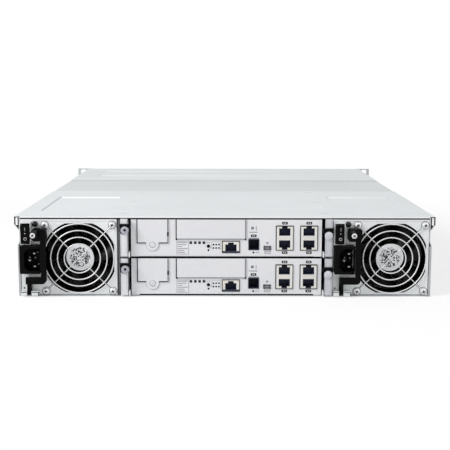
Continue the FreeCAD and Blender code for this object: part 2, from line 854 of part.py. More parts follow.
def psu_case(side, x):
    """Sheet case of a power supply, with its rear panel, switch shroud and lever bracket."""
    body = new_body(f"psu_{side}_case")
    left = -(S.psu_width / 2 + S.fan_shift)
    right = S.psu_width / 2 - S.fan_shift
    gauge = S.gauge
    tube = new_sketch(body, "XZ_Plane", gauge / 2)
    add_box(tube, left, right, S.psu_low, S.psu_high)
    add_box(tube, left + gauge, right - gauge, S.psu_low + gauge, S.psu_high - gauge)
    pad(body, tube, "XZ_Plane", S.bay_length - gauge / 2)

    panel = new_sketch(body, "XZ_Plane", 0)
    add_box(panel, left, right, S.psu_low, S.psu_high)
    fan_opening(panel)
    for across, up in fan_holes():
        add_circle(panel, (across, up), S.screw_radius + S.hole_clearance)
    flange, gap = S.inlet_flange, S.fit_gap
    add_box(panel, flange - S.inlet_left - gap, -(S.inlet_right + flange) + gap,
            S.inlet_low + flange - gap, S.inlet_high - flange + gap)
    slack = S.switch_clearance
    add_box(panel, -S.switch_left - slack, -S.switch_right + slack,
            S.switch_low - slack, S.switch_high + slack)
    pad(body, panel, "XZ_Plane", gauge)

    shroud = new_sketch(body, "XZ_Plane", -S.shroud_reach)
    outer = slack + S.shroud_wall
    add_box(shroud, -S.switch_left - outer, -S.switch_right + outer,
            S.switch_low - outer, S.switch_high + outer)
    add_box(shroud, -S.switch_left - slack, -S.switch_right + slack,
            S.switch_low - slack, S.switch_high + slack)
    pad(body, shroud, "XZ_Plane", S.shroud_reach + gauge)

    bracket = new_sketch(body, "YZ_Plane", -S.bracket_left)
    lever_y = -(S.stem_back + S.stem_thick / 2)
    add_box(bracket, -S.bracket_reach, gauge / 2, S.bracket_low, S.bracket_high + gauge)
    add_circle(bracket, (lever_y, S.lever_pivot_height), S.lever_pivot_radius + S.pin_fit)
    pad(body, bracket, "YZ_Plane", S.bracket_left - S.bracket_right)
    notch = new_sketch(body, "XZ_Plane", -S.bracket_reach)
    add_box(notch, -S.stem_left - gap, -S.stem_right + gap, S.psu_low, S.bracket_high + gauge * 2)
    pocket(body, notch, "XZ_Plane", S.bracket_reach)

    end = new_sketch(body, "XZ_Plane", S.bay_length - gauge)
    add_box(end, left, right, S.psu_low, S.psu_high)
    pitch = S.psu_width / EXHAUST_SLOTS
    for slot in range(EXHAUST_SLOTS):
        middle = left + pitch * (slot + 0.5)
        add_box(end, middle - S.exhaust_width / 2, middle + S.exhaust_width / 2,
                S.psu_low + S.exhaust_margin, S.psu_high - S.exhaust_margin)
    pad(body, end, "XZ_Plane", gauge)
    place(body, x)


def fan_opening(sketch):
    """Round opening with four flats where the fan frame's sides would show."""
    radius, flat, height = S.fan_opening, S.fan_flat, S.fan_height
    reach_value = math.sqrt(radius.value ** 2 - flat.value ** 2)
    reach = Term(reach_value, f"sqrt({(radius * radius - flat * flat).text})")
    centre = (term(0), height)
    ends = [
        ((flat, height - reach), (flat, height + reach)),
        ((reach, height + flat), (-reach, height + flat)),
        ((-flat, height + reach), (-flat, height - reach)),
        ((-reach, height - flat), (reach, height - flat)),
    ]
    pieces = []
    for start, end in ends:
        pieces.append((start, (centre, radius, 1)))
        pieces.append((end, None))
    add_arc_chain(sketch, pieces)


def fan_holes():
    half = S.fan_hole_pitch / 2
    return [(half * across, S.fan_height + half * up) for across in (-1, 1) for up in (-1, 1)]


def fan_frame(side, x):
    """Square frame of the axial fan, with its round duct, struts and motor plate."""
    body = new_body(f"psu_{side}_fan_frame")
    start = S.gauge + S.fit_gap
    half = S.fan_square / 2
    height = S.fan_height
    square = new_sketch(body, "XZ_Plane", start)
    add_box(square, -half, half, height - half, height + half)
    add_circle(square, (0, height), S.fan_duct)
    for hole in fan_holes():
        add_circle(square, hole, S.screw_radius + S.hole_clearance)
    pad(body, square, "XZ_Plane", S.fan_depth)
    back = start + S.fan_depth - S.fan_strut_depth
    reach = S.fan_duct + S.gauge / 2
    bars = new_sketch(body, "XZ_Plane", back)
    strut = S.fan_strut / 2
    add_loop(bars, [
        (-strut, height - reach), (strut, height - reach), (strut, height - strut),
        (reach, height - strut), (reach, height + strut), (strut, height + strut),
        (strut, height + reach), (-strut, height + reach), (-strut, height + strut),
        (-reach, height + strut), (-reach, height - strut), (-strut, height - strut),
    ])
    pad(body, bars, "XZ_Plane", S.fan_strut_depth)
    plate = new_sketch(body, "XZ_Plane", back)
    add_circle(plate, (0, height), S.hub_radius)
    pad(body, plate, "XZ_Plane", S.fan_strut_depth)
    shaft = new_sketch(body, "XZ_Plane", back - S.hub_length / 2)
    add_circle(shaft, (0, height), S.fan_strut / 2)
    pad(body, shaft, "XZ_Plane", S.hub_length / 2 + S.fan_strut_depth)
    place(body, x)


def fan_rotor(side, x):
    """Rotor: a hub cup that turns on the motor's bearing tube, and seven pitched blades."""
    body = new_body(f"psu_{side}_fan_rotor")
    # the rotor's own axis is the body's Y axis
    back = S.gauge + S.fit_gap + S.fan_depth - S.fan_strut_depth - S.fit_gap
    cup = new_sketch(body, "XZ_Plane", back - S.hub_length)
    add_circle(cup, (0, 0), S.hub_radius)
    pad(body, cup, "XZ_Plane", S.hub_length)
    bore = new_sketch(body, "XZ_Plane", back - S.hub_length / 2 - S.fit_gap)
    add_circle(bore, (0, 0), S.fan_strut / 2 + S.pin_fit)
    pocket(body, bore, "XZ_Plane", S.hub_length / 2 + S.fit_gap)
    section = new_sketch(body, "YZ_Plane", S.blade_root)
    middle = back - S.hub_length / 2
    along_y, along_z = sine(S.blade_pitch), cosine(S.blade_pitch)
    long, thin = S.blade_chord / 2, S.blade_thick / 2
    corners = []
    for a, b in ((-1, -1), (1, -1), (1, 1), (-1, 1)):
        corners.append((
            middle + along_y * long * a - along_z * thin * b,
            along_z * long * a + along_y * thin * b,
        ))
    add_loop(section, corners)
    blade = pad(body, section, "YZ_Plane", S.blade_tip - S.blade_root)
    DOC.recompute()
    ring = body.newObject("PartDesign::PolarPattern", f"{body.Name}_blades")
    ring.Originals = [blade]
    ring.Axis = (origin_feature(body, "Y_Axis"), [""])
    ring.Angle = 360
    ring.Occurrences = BLADES
    body.Tip = ring
    place(body, x, 0, S.fan_height)


def wire_ring(name, radius, start):
    """One round wire of the guard: the space between two many-sided prisms along Y."""
    prisms = []
    for offset in (S.wire / 2, -S.wire / 2):
        prism = DOC.addObject("Part::Prism", f"{name}_prism")
        prism.Polygon = RING_SIDES
        prism.setExpression("Circumradius", (radius + offset).text)
        prism.setExpression("Height", S.wire.text)
        prism.Placement.Rotation = FreeCAD.Rotation(Vector(1, 0, 0), -90)
        prism.setExpression(".Placement.Base.y", start.text)
        prisms.append(prism)
    ring = DOC.addObject("Part::Cut", name)
    ring.Base, ring.Tool = prisms
    return ring


def fan_guard(side, x):
    """Wire guard: four round wires welded to two crossed wires with an eyelet at each end."""
    cross = DOC.addObject("PartDesign::Body", f"psu_{side}_guard_cross")
    seat = -(S.fit_gap + S.wire)
    half = S.fan_hole_pitch / 2
    corners = ((1, 1), (-1, 1), (-1, -1), (1, -1))
    wires = new_sketch(cross, "XZ_Plane", seat)
    loop = []
    for a, b in corners:
        # the end of each crossed wire lies under an eyelet, the inner corner between two wires
        ends = [(half * a, (half - S.wire) * b), ((half - S.wire) * a, half * b)]
        inner = (term(0), S.wire * b) if a * b > 0 else (S.wire * a, term(0))
        loop += (ends if a * b > 0 else ends[::-1]) + [inner]
    add_loop(wires, loop)
    pad(cross, wires, "XZ_Plane", S.wire)
    eyes = new_sketch(cross, "XZ_Plane", seat)
    holes = new_sketch(cross, "XZ_Plane", seat)
    for a, b in corners:
        add_circle(eyes, (half * a, half * b), S.eyelet_radius)
        add_circle(holes, (half * a, half * b), S.screw_radius + S.hole_clearance)
    pad(cross, eyes, "XZ_Plane", S.wire)
    pocket(cross, holes, "XZ_Plane", S.wire)
    rings = [
        wire_ring(f"psu_{side}_guard_ring", S.ring_first + S.ring_step * ring,
                  seat - S.wire + S.weld_depth)
        for ring in range(RINGS)
    ]
    guard = DOC.addObject("Part::MultiFuse", f"psu_{side}_fan_guard")
    guard.Label = f"psu_{side}_fan_guard"
    guard.Shapes = [cross] + rings
    PARTS.append(guard)
    place(guard, x, 0, S.fan_height)


def fan_screws(side, x):
    """Four pan-head screws through the guard, the panel and the fan frame."""
    screws = []
    seat = -(S.fit_gap + S.wire)
    for number, (across, up) in enumerate(fan_holes()):
        pieces = []
        for radius, start, length in (
            (S.screw_head, seat - S.screw_head_length, S.screw_head_length),
            (S.screw_radius, seat, S.screw_length),
        ):
            rod = DOC.addObject("Part::Cylinder", f"psu_{side}_screw_rod")
            rod.setExpression("Radius", radius.text)
            rod.setExpression("Height", length.text)
            rod.Placement.Rotation = FreeCAD.Rotation(Vector(1, 0, 0), -90)
            rod.setExpression(".Placement.Base.x", across.text)
            rod.setExpression(".Placement.Base.y", start.text)
            rod.setExpression(".Placement.Base.z", up.text)
            pieces.append(rod)
        screw = DOC.addObject("Part::MultiFuse", f"psu_{side}_screw_{number}")
        screw.Shapes = pieces
        screws.append(screw)
    place(compound(f"psu_{side}_fan_screws", screws), x)


def power_inlet(side, x):
    """Three-pole power inlet: a deep recess with two chamfered corners and three flat pins."""
    body = new_body(f"psu_{side}_inlet")
    flange = S.inlet_flange
    outer = new_sketch(body, "XZ_Plane", -S.inlet_reach)
    add_round_box(outer, -S.inlet_left, -S.inlet_right, S.inlet_low, S.inlet_high, flange)
    pad(body, outer, "XZ_Plane", S.inlet_reach - S.fit_gap)
    inner = new_sketch(body, "XZ_Plane", -S.fit_gap)
    add_box(inner, flange - S.inlet_left, -(S.inlet_right + flange),
            S.inlet_low + flange, S.inlet_high - flange)
    pad(body, inner, "XZ_Plane", S.inlet_inset)

    recess = new_sketch(body, "XZ_Plane", -S.inlet_reach)
    middle = (S.inlet_low + S.inlet_high) / 2
    left = -S.recess_centre - S.recess_width / 2
    right = -S.recess_centre + S.recess_width / 2
    low = middle - S.recess_height / 2
    high = middle + S.recess_height / 2
    cut = S.recess_chamfer
    add_loop(recess, [
        (left + cut, low), (right, low), (right, high), (left + cut, high),
        (left, high - cut), (left, low + cut),
    ])
    pocket(body, recess, "XZ_Plane", S.recess_depth)

    pins = new_sketch(body, "XZ_Plane", S.recess_depth - S.inlet_reach - S.pin_length)
    centre = -S.recess_centre
    for across, up in ((-1, 0), (1, -1), (1, 1)):
        pin_x = centre + S.pin_side * across
        pin_z = middle + S.pin_pitch / 2 * up
        add_box(pins, pin_x - S.pin_width / 2, pin_x + S.pin_width / 2,
                pin_z - S.pin_thick / 2, pin_z + S.pin_thick / 2)
    pad(body, pins, "XZ_Plane", S.pin_length + S.gauge)
    place(body, x)


def power_switch(side, x):
    """Rocker of the mains switch: a shallow V in front, turning on its middle."""
    body = new_body(f"psu_{side}_switch")
    # drawn about its own pivot, which lies on the line of the shroud's mouth
    half = (S.switch_high - S.switch_low) / 2
    fall = half * sine(S.switch_tilt)
    sketch = new_sketch(body, "YZ_Plane", -(S.switch_left - S.switch_right) / 2)
    front = S.shroud_reach - S.switch_reach
    back = S.switch_body
    add_loop(sketch, [
        (front + fall, 0), (front, half), (back, half / 2), (back, -half / 2), (front, -half),
    ])
    pad(body, sketch, "YZ_Plane", S.switch_left - S.switch_right)
    middle = (S.switch_high + S.switch_low) / 2
    place(body, x - (S.switch_left + S.switch_right) / 2, -S.shroud_reach, middle)
    body.setExpression(".Placement.Rotation.Angle", S.switch_tilt.text)
    body.setExpression(".Placement.Rotation.Axis.x", "1")
    body.setExpression(".Placement.Rotation.Axis.y", "0")
    body.setExpression(".Placement.Rotation.Axis.z", "0")


def psu_lever(side, x):
    """Release lever: it pivots at the foot, runs up beside the inlet and ends in a screw boss.

    The captive screw runs in a barrel behind the boss, its head is sunk in the barrel's mouth.
    """
    body = new_body(f"psu_{side}_lever")
    boss = new_sketch(body, "XZ_Plane", -S.boss_reach)
    add_round_box(boss, -S.boss_left, -S.boss_right, S.boss_low, S.boss_high, S.boss_radius)
    pad(body, boss, "XZ_Plane", S.boss_reach - S.boss_back)
    axis = (-S.screw_side, S.screw_height)
    barrel = new_sketch(body, "XZ_Plane", -S.lever_reach)
    add_circle(barrel, axis, S.screw_head + S.barrel_wall)
    pad(body, barrel, "XZ_Plane", S.lever_reach - S.boss_back - S.gauge)
    mouth = new_sketch(body, "XZ_Plane", -S.lever_reach)
    add_circle(mouth, axis, S.screw_head)
    pocket(body, mouth, "XZ_Plane", S.screw_sink)
    shank = new_sketch(body, "XZ_Plane", -S.boss_back - S.gauge)
    add_circle(shank, axis, S.screw_shank)
    pad(body, shank, "XZ_Plane", S.boss_back + S.gauge - S.fit_gap)

    bar = new_sketch(body, "XZ_Plane", -S.bar_reach)
    round_off = S.bar_left - S.bar_right - S.gauge
    add_arc_chain(bar, [
        ((-S.foot_left, S.bar_low), None),
        ((-S.bar_right - round_off, S.bar_low), None),
        ((-S.bar_right, S.bar_low + round_off),
         ((-S.bar_right - round_off, S.bar_low + round_off), round_off, 1)),
        ((-S.bar_right, S.boss_low + S.boss_radius), None),
        ((-S.bar_left, S.boss_low + S.boss_radius), None),
        ((-S.bar_left, S.foot_high), None),
        ((-S.foot_left, S.foot_high), None),
    ])
    pad(body, bar, "XZ_Plane", S.bar_thick)

    stem = new_sketch(body, "YZ_Plane", -S.stem_left)
    back = -S.stem_back
    front = back - S.stem_thick
    pivot = S.lever_pivot_height
    knee = S.bar_low + S.stem_thick
    radius = S.stem_thick / 2
    add_arc_chain(stem, [
        ((front, pivot), None),
        ((back, pivot), ((back - radius, pivot), radius, 1)),
        ((back, knee), None),
        ((S.bar_thick - S.bar_reach, S.foot_high), None),
        ((-S.bar_reach, S.foot_high), None),
        ((-S.bar_reach, S.bar_low), None),
        ((front, S.bar_low), None),
    ])
    pad(body, stem, "YZ_Plane", S.stem_left - S.stem_right)

    pin = new_sketch(body, "YZ_Plane", -S.bracket_left)
    add_circle(pin, (back - radius, pivot), S.lever_pivot_radius)
    pad(body, pin, "YZ_Plane", S.bracket_left - S.bracket_right)
    place(body, x)


# ---------------------------------------------------------------- controllers


def controller_case(name, height):
    """Sheet case of a controller, its face with the port cut-outs, and the ejectors' lugs."""
    body = new_body(f"{name}_case")
    gauge, half = S.gauge, S.ctrl_half
    tube = new_sketch(body, "XZ_Plane", S.face_thick / 2)
    add_box(tube, -half, half, S.ctrl_low, S.ctrl_high)
    add_box(tube, gauge - half, half - gauge, S.ctrl_low + gauge, S.ctrl_high - gauge)
    pad(body, tube, "XZ_Plane", S.bay_length - S.face_thick / 2)

    face = new_sketch(body, "XZ_Plane", 0)
    side, tab = S.face_half, S.face_tab
    add_loop(face, [
        (-side, S.ctrl_low), (tab - side, S.ctrl_low), (tab - side, S.face_low),
        (side - tab, S.face_low), (side - tab, S.ctrl_low), (side, S.ctrl_low),
        (side, S.face_high), (-side, S.face_high),
    ])
    gap = S.fit_gap
    jack_half = S.jack_width / 2 + gap
    for centre in (S.jack_first, S.jack_second):
        add_box(face, centre - jack_half, centre + jack_half, S.jack_low - gap, S.jack_high + gap)
    centre = S.service_jack_centre
    add_box(face, centre - jack_half, centre + jack_half,
            S.service_jack_low - gap, S.service_jack_high + gap)
    cage_half = S.expansion_width / 2 + gap
    add_box(face, S.expansion_centre - cage_half, S.expansion_centre + cage_half,
            S.expansion_low - gap, S.expansion_high + gap)
    usb_half = S.usb_width / 2 + gap
    add_box(face, S.usb_centre - usb_half, S.usb_centre + usb_half,
            S.expansion_low - gap, S.usb_high + gap)
    add_circle(face, (-S.button_left, S.button_height), S.button_radius + gap)
    pad(body, face, "XZ_Plane", S.face_thick)

    for sign in (-1, 1):
        near = S.lug_near * sign
        far = (S.lug_near + S.lug_thick) * sign
        left, right = (near, far) if sign > 0 else (far, near)
        lug = new_sketch(body, "XZ_Plane", EJECTOR_PIVOT_Y - S.ejector_depth / 2)
        low = S.ctrl_low
        high = EJECTOR_PIVOT_Z + S.ejector_depth / 2
        add_box(lug, left, right, low, high)
        pad(body, lug, "XZ_Plane", S.face_thick + S.ejector_depth / 2 - EJECTOR_PIVOT_Y)
        web = new_sketch(body, "XZ_Plane", 0)
        edges = (side - tab, right) if sign > 0 else (left, tab - side)
        add_box(web, edges[0], edges[1], low, high)
        pad(body, web, "XZ_Plane", S.face_thick)
        reach = S.ejector_side + S.ejector_width / 2 - gauge
        ends = (S.lug_near, reach) if sign > 0 else (-reach, -S.lug_near)
        pin = new_sketch(body, "YZ_Plane", ends[0])
        add_circle(pin, (EJECTOR_PIVOT_Y, EJECTOR_PIVOT_Z), S.ejector_pin)
        pad(body, pin, "YZ_Plane", ends[1] - ends[0])

    rails = new_sketch(body, "XY_Plane", S.ctrl_low + gauge / 2)
    for across in (-1, 1):
        middle = S.standoff_side * across
        add_box(rails, middle - S.standoff_width / 2, middle + S.standoff_width / 2,
                S.standoff_inset, S.bay_length - S.standoff_inset)
    pad(body, rails, "XY_Plane", S.ctrl_board_low - S.fit_gap - S.ctrl_low - gauge / 2)

    end = new_sketch(body, "XZ_Plane", S.bay_length - gauge)
    add_box(end, -half, half, S.ctrl_low, S.ctrl_high)
    half_socket = S.signal_socket_width / 2 + gap
    add_box(end, -half_socket, half_socket, BOARD_TOP - gap,
            BOARD_TOP + S.signal_socket_height + gap)
    pad(body, end, "XZ_Plane", gauge)
    place(body, S.ctrl_offset, 0, height)


def controller_board(name, height):
    """Main board on the case's standoffs, cut out where the sunk service jack sits."""
    body = new_body(f"{name}_board")
    sketch = new_sketch(body, "XY_Plane", S.ctrl_board_low)
    start = S.face_thick + S.fit_gap
    end = S.bay_length - S.gauge - S.fit_gap
    half = S.ctrl_board_half
    centre = S.service_jack_centre
    cut = S.jack_width / 2 + S.fit_gap
    depth = S.jack_depth - S.jack_proud + S.fit_gap
    add_loop(sketch, [
        (-half, start), (centre - cut, start), (centre - cut, depth), (centre + cut, depth),
        (centre + cut, start), (half, start), (half, end), (-half, end),
    ])
    pad(body, sketch, "XY_Plane", S.ctrl_board_thick)
    place(body, S.ctrl_offset, 0, height)


def battery_cover(name, height):
    """Front of the battery pack, with a round tab for its captive screw."""
    body = new_body(f"{name}_battery_cover")
    sketch = new_sketch(body, "XZ_Plane", -S.cover_lift)
    left, right = -S.battery_left, -S.battery_right
    centre = (left + right) / 2
    radius = S.tab_radius
    level = S.battery_low - S.tab_drop
    add_arc_chain(sketch, [
        ((left, S.battery_low), None),
        ((centre - radius, S.battery_low), None),
        ((centre - radius, level), None),
        ((centre + radius, level), ((centre, level), radius, 1)),
        ((centre + radius, S.battery_low), None),
        ((right, S.battery_low), None),
        ((right, S.cover_top), None),
        ((left, S.cover_top), None),
    ])
    pad(body, sketch, "XZ_Plane", S.cover_lift)
    place(body, S.ctrl_offset, 0, height)


def slot_cover(name, height):
    """Blank cover of the interface slot."""
    body = new_body(f"{name}_slot_cover")
    sketch = new_sketch(body, "XZ_Plane", -S.cover_lift)
    add_round_box(sketch, -S.blank_left, S.blank_right, S.blank_low, S.cover_top, S.gauge)
    pad(body, sketch, "XZ_Plane", S.cover_lift)
    place(body, S.ctrl_offset, 0, height)


def jack_mouth(sketch, centre, low, notch_up):
    """Mouth of a modular jack: a rectangle with a narrower notch for the plug's clip."""
    half, notch = S.jack_opening / 2, S.jack_notch / 2
    high = low + S.jack_mouth
    if notch_up:
        tip = high + S.jack_notch_height
        add_loop(sketch, [
            (centre - half, low), (centre + half, low), (centre + half, high),
            (centre + notch, high), (centre + notch, tip), (centre - notch, tip),
            (centre - notch, high), (centre - half, high),
        ])
    else:
        tip = low - S.jack_notch_height
        add_loop(sketch, [
            (centre - half, low), (centre - notch, low), (centre - notch, tip),
            (centre + notch, tip), (centre + notch, low), (centre + half, low),
            (centre + half, high), (centre - half, high),
        ])


def network_jacks(name, height):
    """Two stacked network jacks and the single service jack."""
    blocks = []
    for index, (centre, low, high) in enumerate((
        (S.jack_first, S.jack_low, S.jack_high),
        (S.jack_second, S.jack_low, S.jack_high),
        (S.service_jack_centre, S.service_jack_low, S.service_jack_high),
    )):
        block = DOC.addObject("PartDesign::Body", f"{name}_jack_{index}")
        outer = new_sketch(block, "XZ_Plane", -S.jack_proud)
        half = S.jack_width / 2
        add_box(outer, centre - half, centre + half, low, high)
        pad(block, outer, "XZ_Plane", S.jack_depth)
        mouths = new_sketch(block, "XZ_Plane", -S.jack_proud)
        if index < 2:
            jack_mouth(mouths, centre, S.jack_mouth_low, False)
            jack_mouth(mouths, centre, S.jack_mouth_high, True)
        else:
            jack_mouth(mouths, centre, S.service_mouth_low, True)
        pocket(block, mouths, "XZ_Plane", S.jack_recess)
        blocks.append(block)
    place(compound(f"{name}_network_jacks", blocks), S.ctrl_offset, 0, height)


def service_ports(name, height):
    """Metal cage of the expansion port and the small service port beside it."""
    blocks = []
    for index, (centre, width, high, wall, depth) in enumerate((
        (S.expansion_centre, S.expansion_width, S.expansion_high, S.expansion_wall, S.jack_depth),
        (S.usb_centre, S.usb_width, S.usb_high, S.usb_wall, S.usb_depth),
    )):
        block = DOC.addObject("PartDesign::Body", f"{name}_port_{index}")
        outer = new_sketch(block, "XZ_Plane", -S.jack_proud)
        add_box(outer, centre - width / 2, centre + width / 2, S.expansion_low, high)
        pad(block, outer, "XZ_Plane", depth)
        mouth = new_sketch(block, "XZ_Plane", -S.jack_proud)
        add_box(mouth, centre - width / 2 + wall, centre + width / 2 - wall,
                S.expansion_low + wall, high - wall)
        pocket(block, mouth, "XZ_Plane", depth - S.gauge * 2)
        blocks.append(block)
    place(compound(f"{name}_service_ports", blocks), S.ctrl_offset, 0, height)


def reset_button(name, height):
    """Small round push button with a square collar behind the face."""
    body = new_body(f"{name}_button")
    centre = (-S.button_left, S.button_height)
    stem = new_sketch(body, "XZ_Plane", -S.button_reach)
    add_circle(stem, centre, S.button_radius)
    pad(body, stem, "XZ_Plane", S.button_length)
    collar = new_sketch(body, "XZ_Plane", S.face_thick + S.fit_gap)
    across, up, half = centre[0], centre[1], S.button_collar
    add_box(collar, across - half, across + half, up - half, up + half)
    pad(body, collar, "XZ_Plane", S.gauge)
    place(body, S.ctrl_offset, 0, height)


def ejector(name, side, sign, height):
    """Ejector handle: a channel open to the back that turns on the pin of the case's lug."""
    body = new_body(f"{name}_ejector_{side}")
    left = S.ejector_side * sign - S.ejector_width / 2
    back = -S.ejector_back
    front = back - S.ejector_depth
    radius = S.ejector_depth / 2
    level = EJECTOR_PIVOT_Z
    profile = new_sketch(body, "YZ_Plane", left)
    add_arc_chain(profile, [
        ((front, level), None),
        ((back, level), ((back - radius, level), radius, 1)),
        ((back, S.ejector_high), None),
        ((front, S.ejector_high), None),
    ])
    pad(body, profile, "YZ_Plane", S.ejector_width)
    hollow = new_sketch(body, "YZ_Plane", left + S.gauge)
    add_box(hollow, front + S.gauge, back + S.gauge, S.ejector_low - S.gauge,
            S.ejector_high - S.gauge)
    pocket(body, hollow, "YZ_Plane", S.ejector_width - S.gauge * 2)
    hole = new_sketch(body, "YZ_Plane", left)
    add_circle(hole, (EJECTOR_PIVOT_Y, level), S.ejector_pin + S.pin_fit)
    pocket(body, hole, "YZ_Plane", S.ejector_width)
    place(body, S.ctrl_offset, 0, height)


def ejector_latch(name, side, sign, low, high, height):
    """Black latch across the handle: a band that reaches the face and a round screw boss."""
    body = new_body(f"{name}_latch_{side}")
    front = EJECTOR_PIVOT_Y - S.ejector_depth / 2
    near, far = S.latch_near * sign, S.latch_far * sign
    left, right = (near, far) if sign > 0 else (far, near)
    band = new_sketch(body, "XZ_Plane", front - S.latch_thick)
    add_box(band, left, right, low, high)
    pad(body, band, "XZ_Plane", S.latch_thick)
    boss = new_sketch(body, "XZ_Plane", front - S.latch_thick)
    centre = (S.ejector_side * sign, low - S.latch_boss_drop)
    add_circle(boss, centre, S.latch_boss)
    pad(body, boss, "XZ_Plane", S.latch_thick)
    place(body, S.ctrl_offset, 0, height)


# ---------------------------------------------------------------- the whole shelf


def build_chassis():
    chassis_tray()
    rear_cover()
    middle_plate()
    front_cover()
    bay_frame()
    disk_cage()
    midplane_board()
    board_sockets()
    mounting_ear("left", -1)
    mounting_ear("right", 1)


def build_drives():
    number = 0
    for row in reversed(range(ROWS)):
        for column in reversed(range(COLUMNS)):
            number += 1
            drive_module(number, column, row)


def build_supply(side, sign):
    x = S.psu_centre * sign + S.fan_shift
    psu_case(side, x)
    fan_frame(side, x)
    fan_rotor(side, x)
    fan_guard(side, x)
    fan_screws(side, x)
    power_inlet(side, x)
    power_switch(side, x)
    psu_lever(side, x)


def build_controller(name, height):
    controller_case(name, height)
    controller_board(name, height)
    battery_cover(name, height)
    slot_cover(name, height)
    network_jacks(name, height)
    service_ports(name, height)
    reset_button(name, height)
    ejector(name, "left", -1, height)
    ejector(name, "right", 1, height)
    ejector_latch(name, "left", -1, S.latch_left_low, S.latch_left_high, height)
    ejector_latch(name, "right", 1, S.latch_right_low, S.latch_right_high, height)


def check_document():
    """Stop if a feature failed, a cut removed nothing, or a part isn't a valid solid."""
    for item in DOC.Objects:
        if "Invalid" in item.State or "Error" in item.State:
            raise RuntimeError(f"{item.Name} did not compute: {item.State}")
        if item.TypeId == "PartDesign::Pocket":
            before = item.BaseFeature.Shape.Volume
            if not item.Shape.Volume < before - 1e-3:
                raise RuntimeError(f"{item.Name} removed nothing")
    for part in PARTS:
        if part.Shape.isNull() or not part.Shape.isValid() or not part.Shape.Solids:
            raise RuntimeError(f"{part.Label} has no valid solid")


def export_parts():
    os.makedirs("parts", exist_ok=True)
    for part in PARTS:
        part.Shape.exportStep(os.path.join("parts", f"{part.Label}.step"))


build_chassis()
build_drives()
for supply_side, supply_sign in (("left", -1), ("right", 1)):
    build_supply(supply_side, supply_sign)
build_controller("controller_lower", term(0))
build_controller("controller_upper", S.ctrl_pitch)
DOC.recompute()
check_document()
export_parts()
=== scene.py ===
# %% [markdown]
# # Disk shelf enclosure, seen from its rear
# The real object is a flat steel box, two rack units high. At the rear it holds two power
# supplies, each with a wire-guarded fan, and two storage controllers one above the other.
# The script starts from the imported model, which gives every piece its place, and dresses it.

# %% Load the frame
import json
import math

import bmesh
import bpy
from mathutils import Matrix, Vector


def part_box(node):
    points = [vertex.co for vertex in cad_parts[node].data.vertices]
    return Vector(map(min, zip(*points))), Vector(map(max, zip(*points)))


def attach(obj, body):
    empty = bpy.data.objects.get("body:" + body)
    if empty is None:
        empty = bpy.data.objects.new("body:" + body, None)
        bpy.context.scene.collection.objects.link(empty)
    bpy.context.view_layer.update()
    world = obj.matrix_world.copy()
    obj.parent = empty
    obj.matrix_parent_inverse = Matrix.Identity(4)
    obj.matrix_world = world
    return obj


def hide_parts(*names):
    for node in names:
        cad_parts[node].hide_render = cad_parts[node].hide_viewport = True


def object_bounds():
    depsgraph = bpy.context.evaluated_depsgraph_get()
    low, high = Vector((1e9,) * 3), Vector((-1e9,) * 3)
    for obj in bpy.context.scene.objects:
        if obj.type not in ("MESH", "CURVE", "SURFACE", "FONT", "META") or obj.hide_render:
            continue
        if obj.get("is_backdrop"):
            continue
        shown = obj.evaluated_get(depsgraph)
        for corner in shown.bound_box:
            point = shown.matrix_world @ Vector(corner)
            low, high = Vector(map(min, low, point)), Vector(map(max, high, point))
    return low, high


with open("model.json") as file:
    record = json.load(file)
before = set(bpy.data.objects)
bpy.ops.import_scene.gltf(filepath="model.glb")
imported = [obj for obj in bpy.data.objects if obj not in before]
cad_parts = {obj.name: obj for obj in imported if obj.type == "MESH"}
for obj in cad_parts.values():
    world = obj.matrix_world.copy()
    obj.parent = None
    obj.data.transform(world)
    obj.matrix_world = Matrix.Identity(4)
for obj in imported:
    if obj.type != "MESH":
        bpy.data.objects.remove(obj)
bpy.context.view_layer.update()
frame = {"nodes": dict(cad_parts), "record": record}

# %% [markdown]
# All places are worked out in millimetres from the imported nodes, and turned to metres once, when
# a mesh is made. The rear face of the tray is the plane from which depths are counted, and the
# fans' centres come from their frames.

# %% Places that come from the frame
MM = 0.001
RECORD = frame["record"]
BODY_OF = {node: body for body, nodes in RECORD["behaviour"]["bodies"].items() for node in nodes}


def node_box(name):
    """Lowest and highest corner of a node, in millimetres."""
    low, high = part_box(name)
    return low / MM, high / MM


REAR = node_box("chassis_tray")[0].y
TOP = node_box("rear_cover")[1].z
SUPPLIES = ("left", "right")
CONTROLLERS = ("lower", "upper")
FAN_CENTRE = {}
for side in SUPPLIES:
    low, high = node_box(f"psu_{side}_fan_frame")
    FAN_CENTRE[side] = Vector(((low.x + high.x) / 2, REAR, (low.z + high.z) / 2))
    print(side, "fan centre, mm:", [round(v, 2) for v in FAN_CENTRE[side]])
FACE_CENTRE = {}
for level in CONTROLLERS:
    low, high = node_box(f"controller_{level}_board")
    case_low = node_box(f"controller_{level}_case")[0]
    FACE_CENTRE[level] = Vector(((low.x + high.x) / 2, REAR, case_low.z - 1.5))
    print(level, "face centre, mm:", [round(v, 2) for v in FACE_CENTRE[level]])

# %% [markdown]
# ## Camera
# The camera looks along +Y from a little above the shelf, the way rack products are usually
# shown: a long lens, hardly any roll, and the whole width in the frame.

# %% Camera
CAMERA_PLACE = Vector((-4.0, REAR - 1002.2, 225.3)) * MM
CAMERA_YAW = math.radians(0.23)
CAMERA_PITCH = math.radians(8.4)
CAMERA_ROLL = math.radians(-0.12)
LENS = 76.376                   # mm, on Blender's usual sensor, 36 mm wide


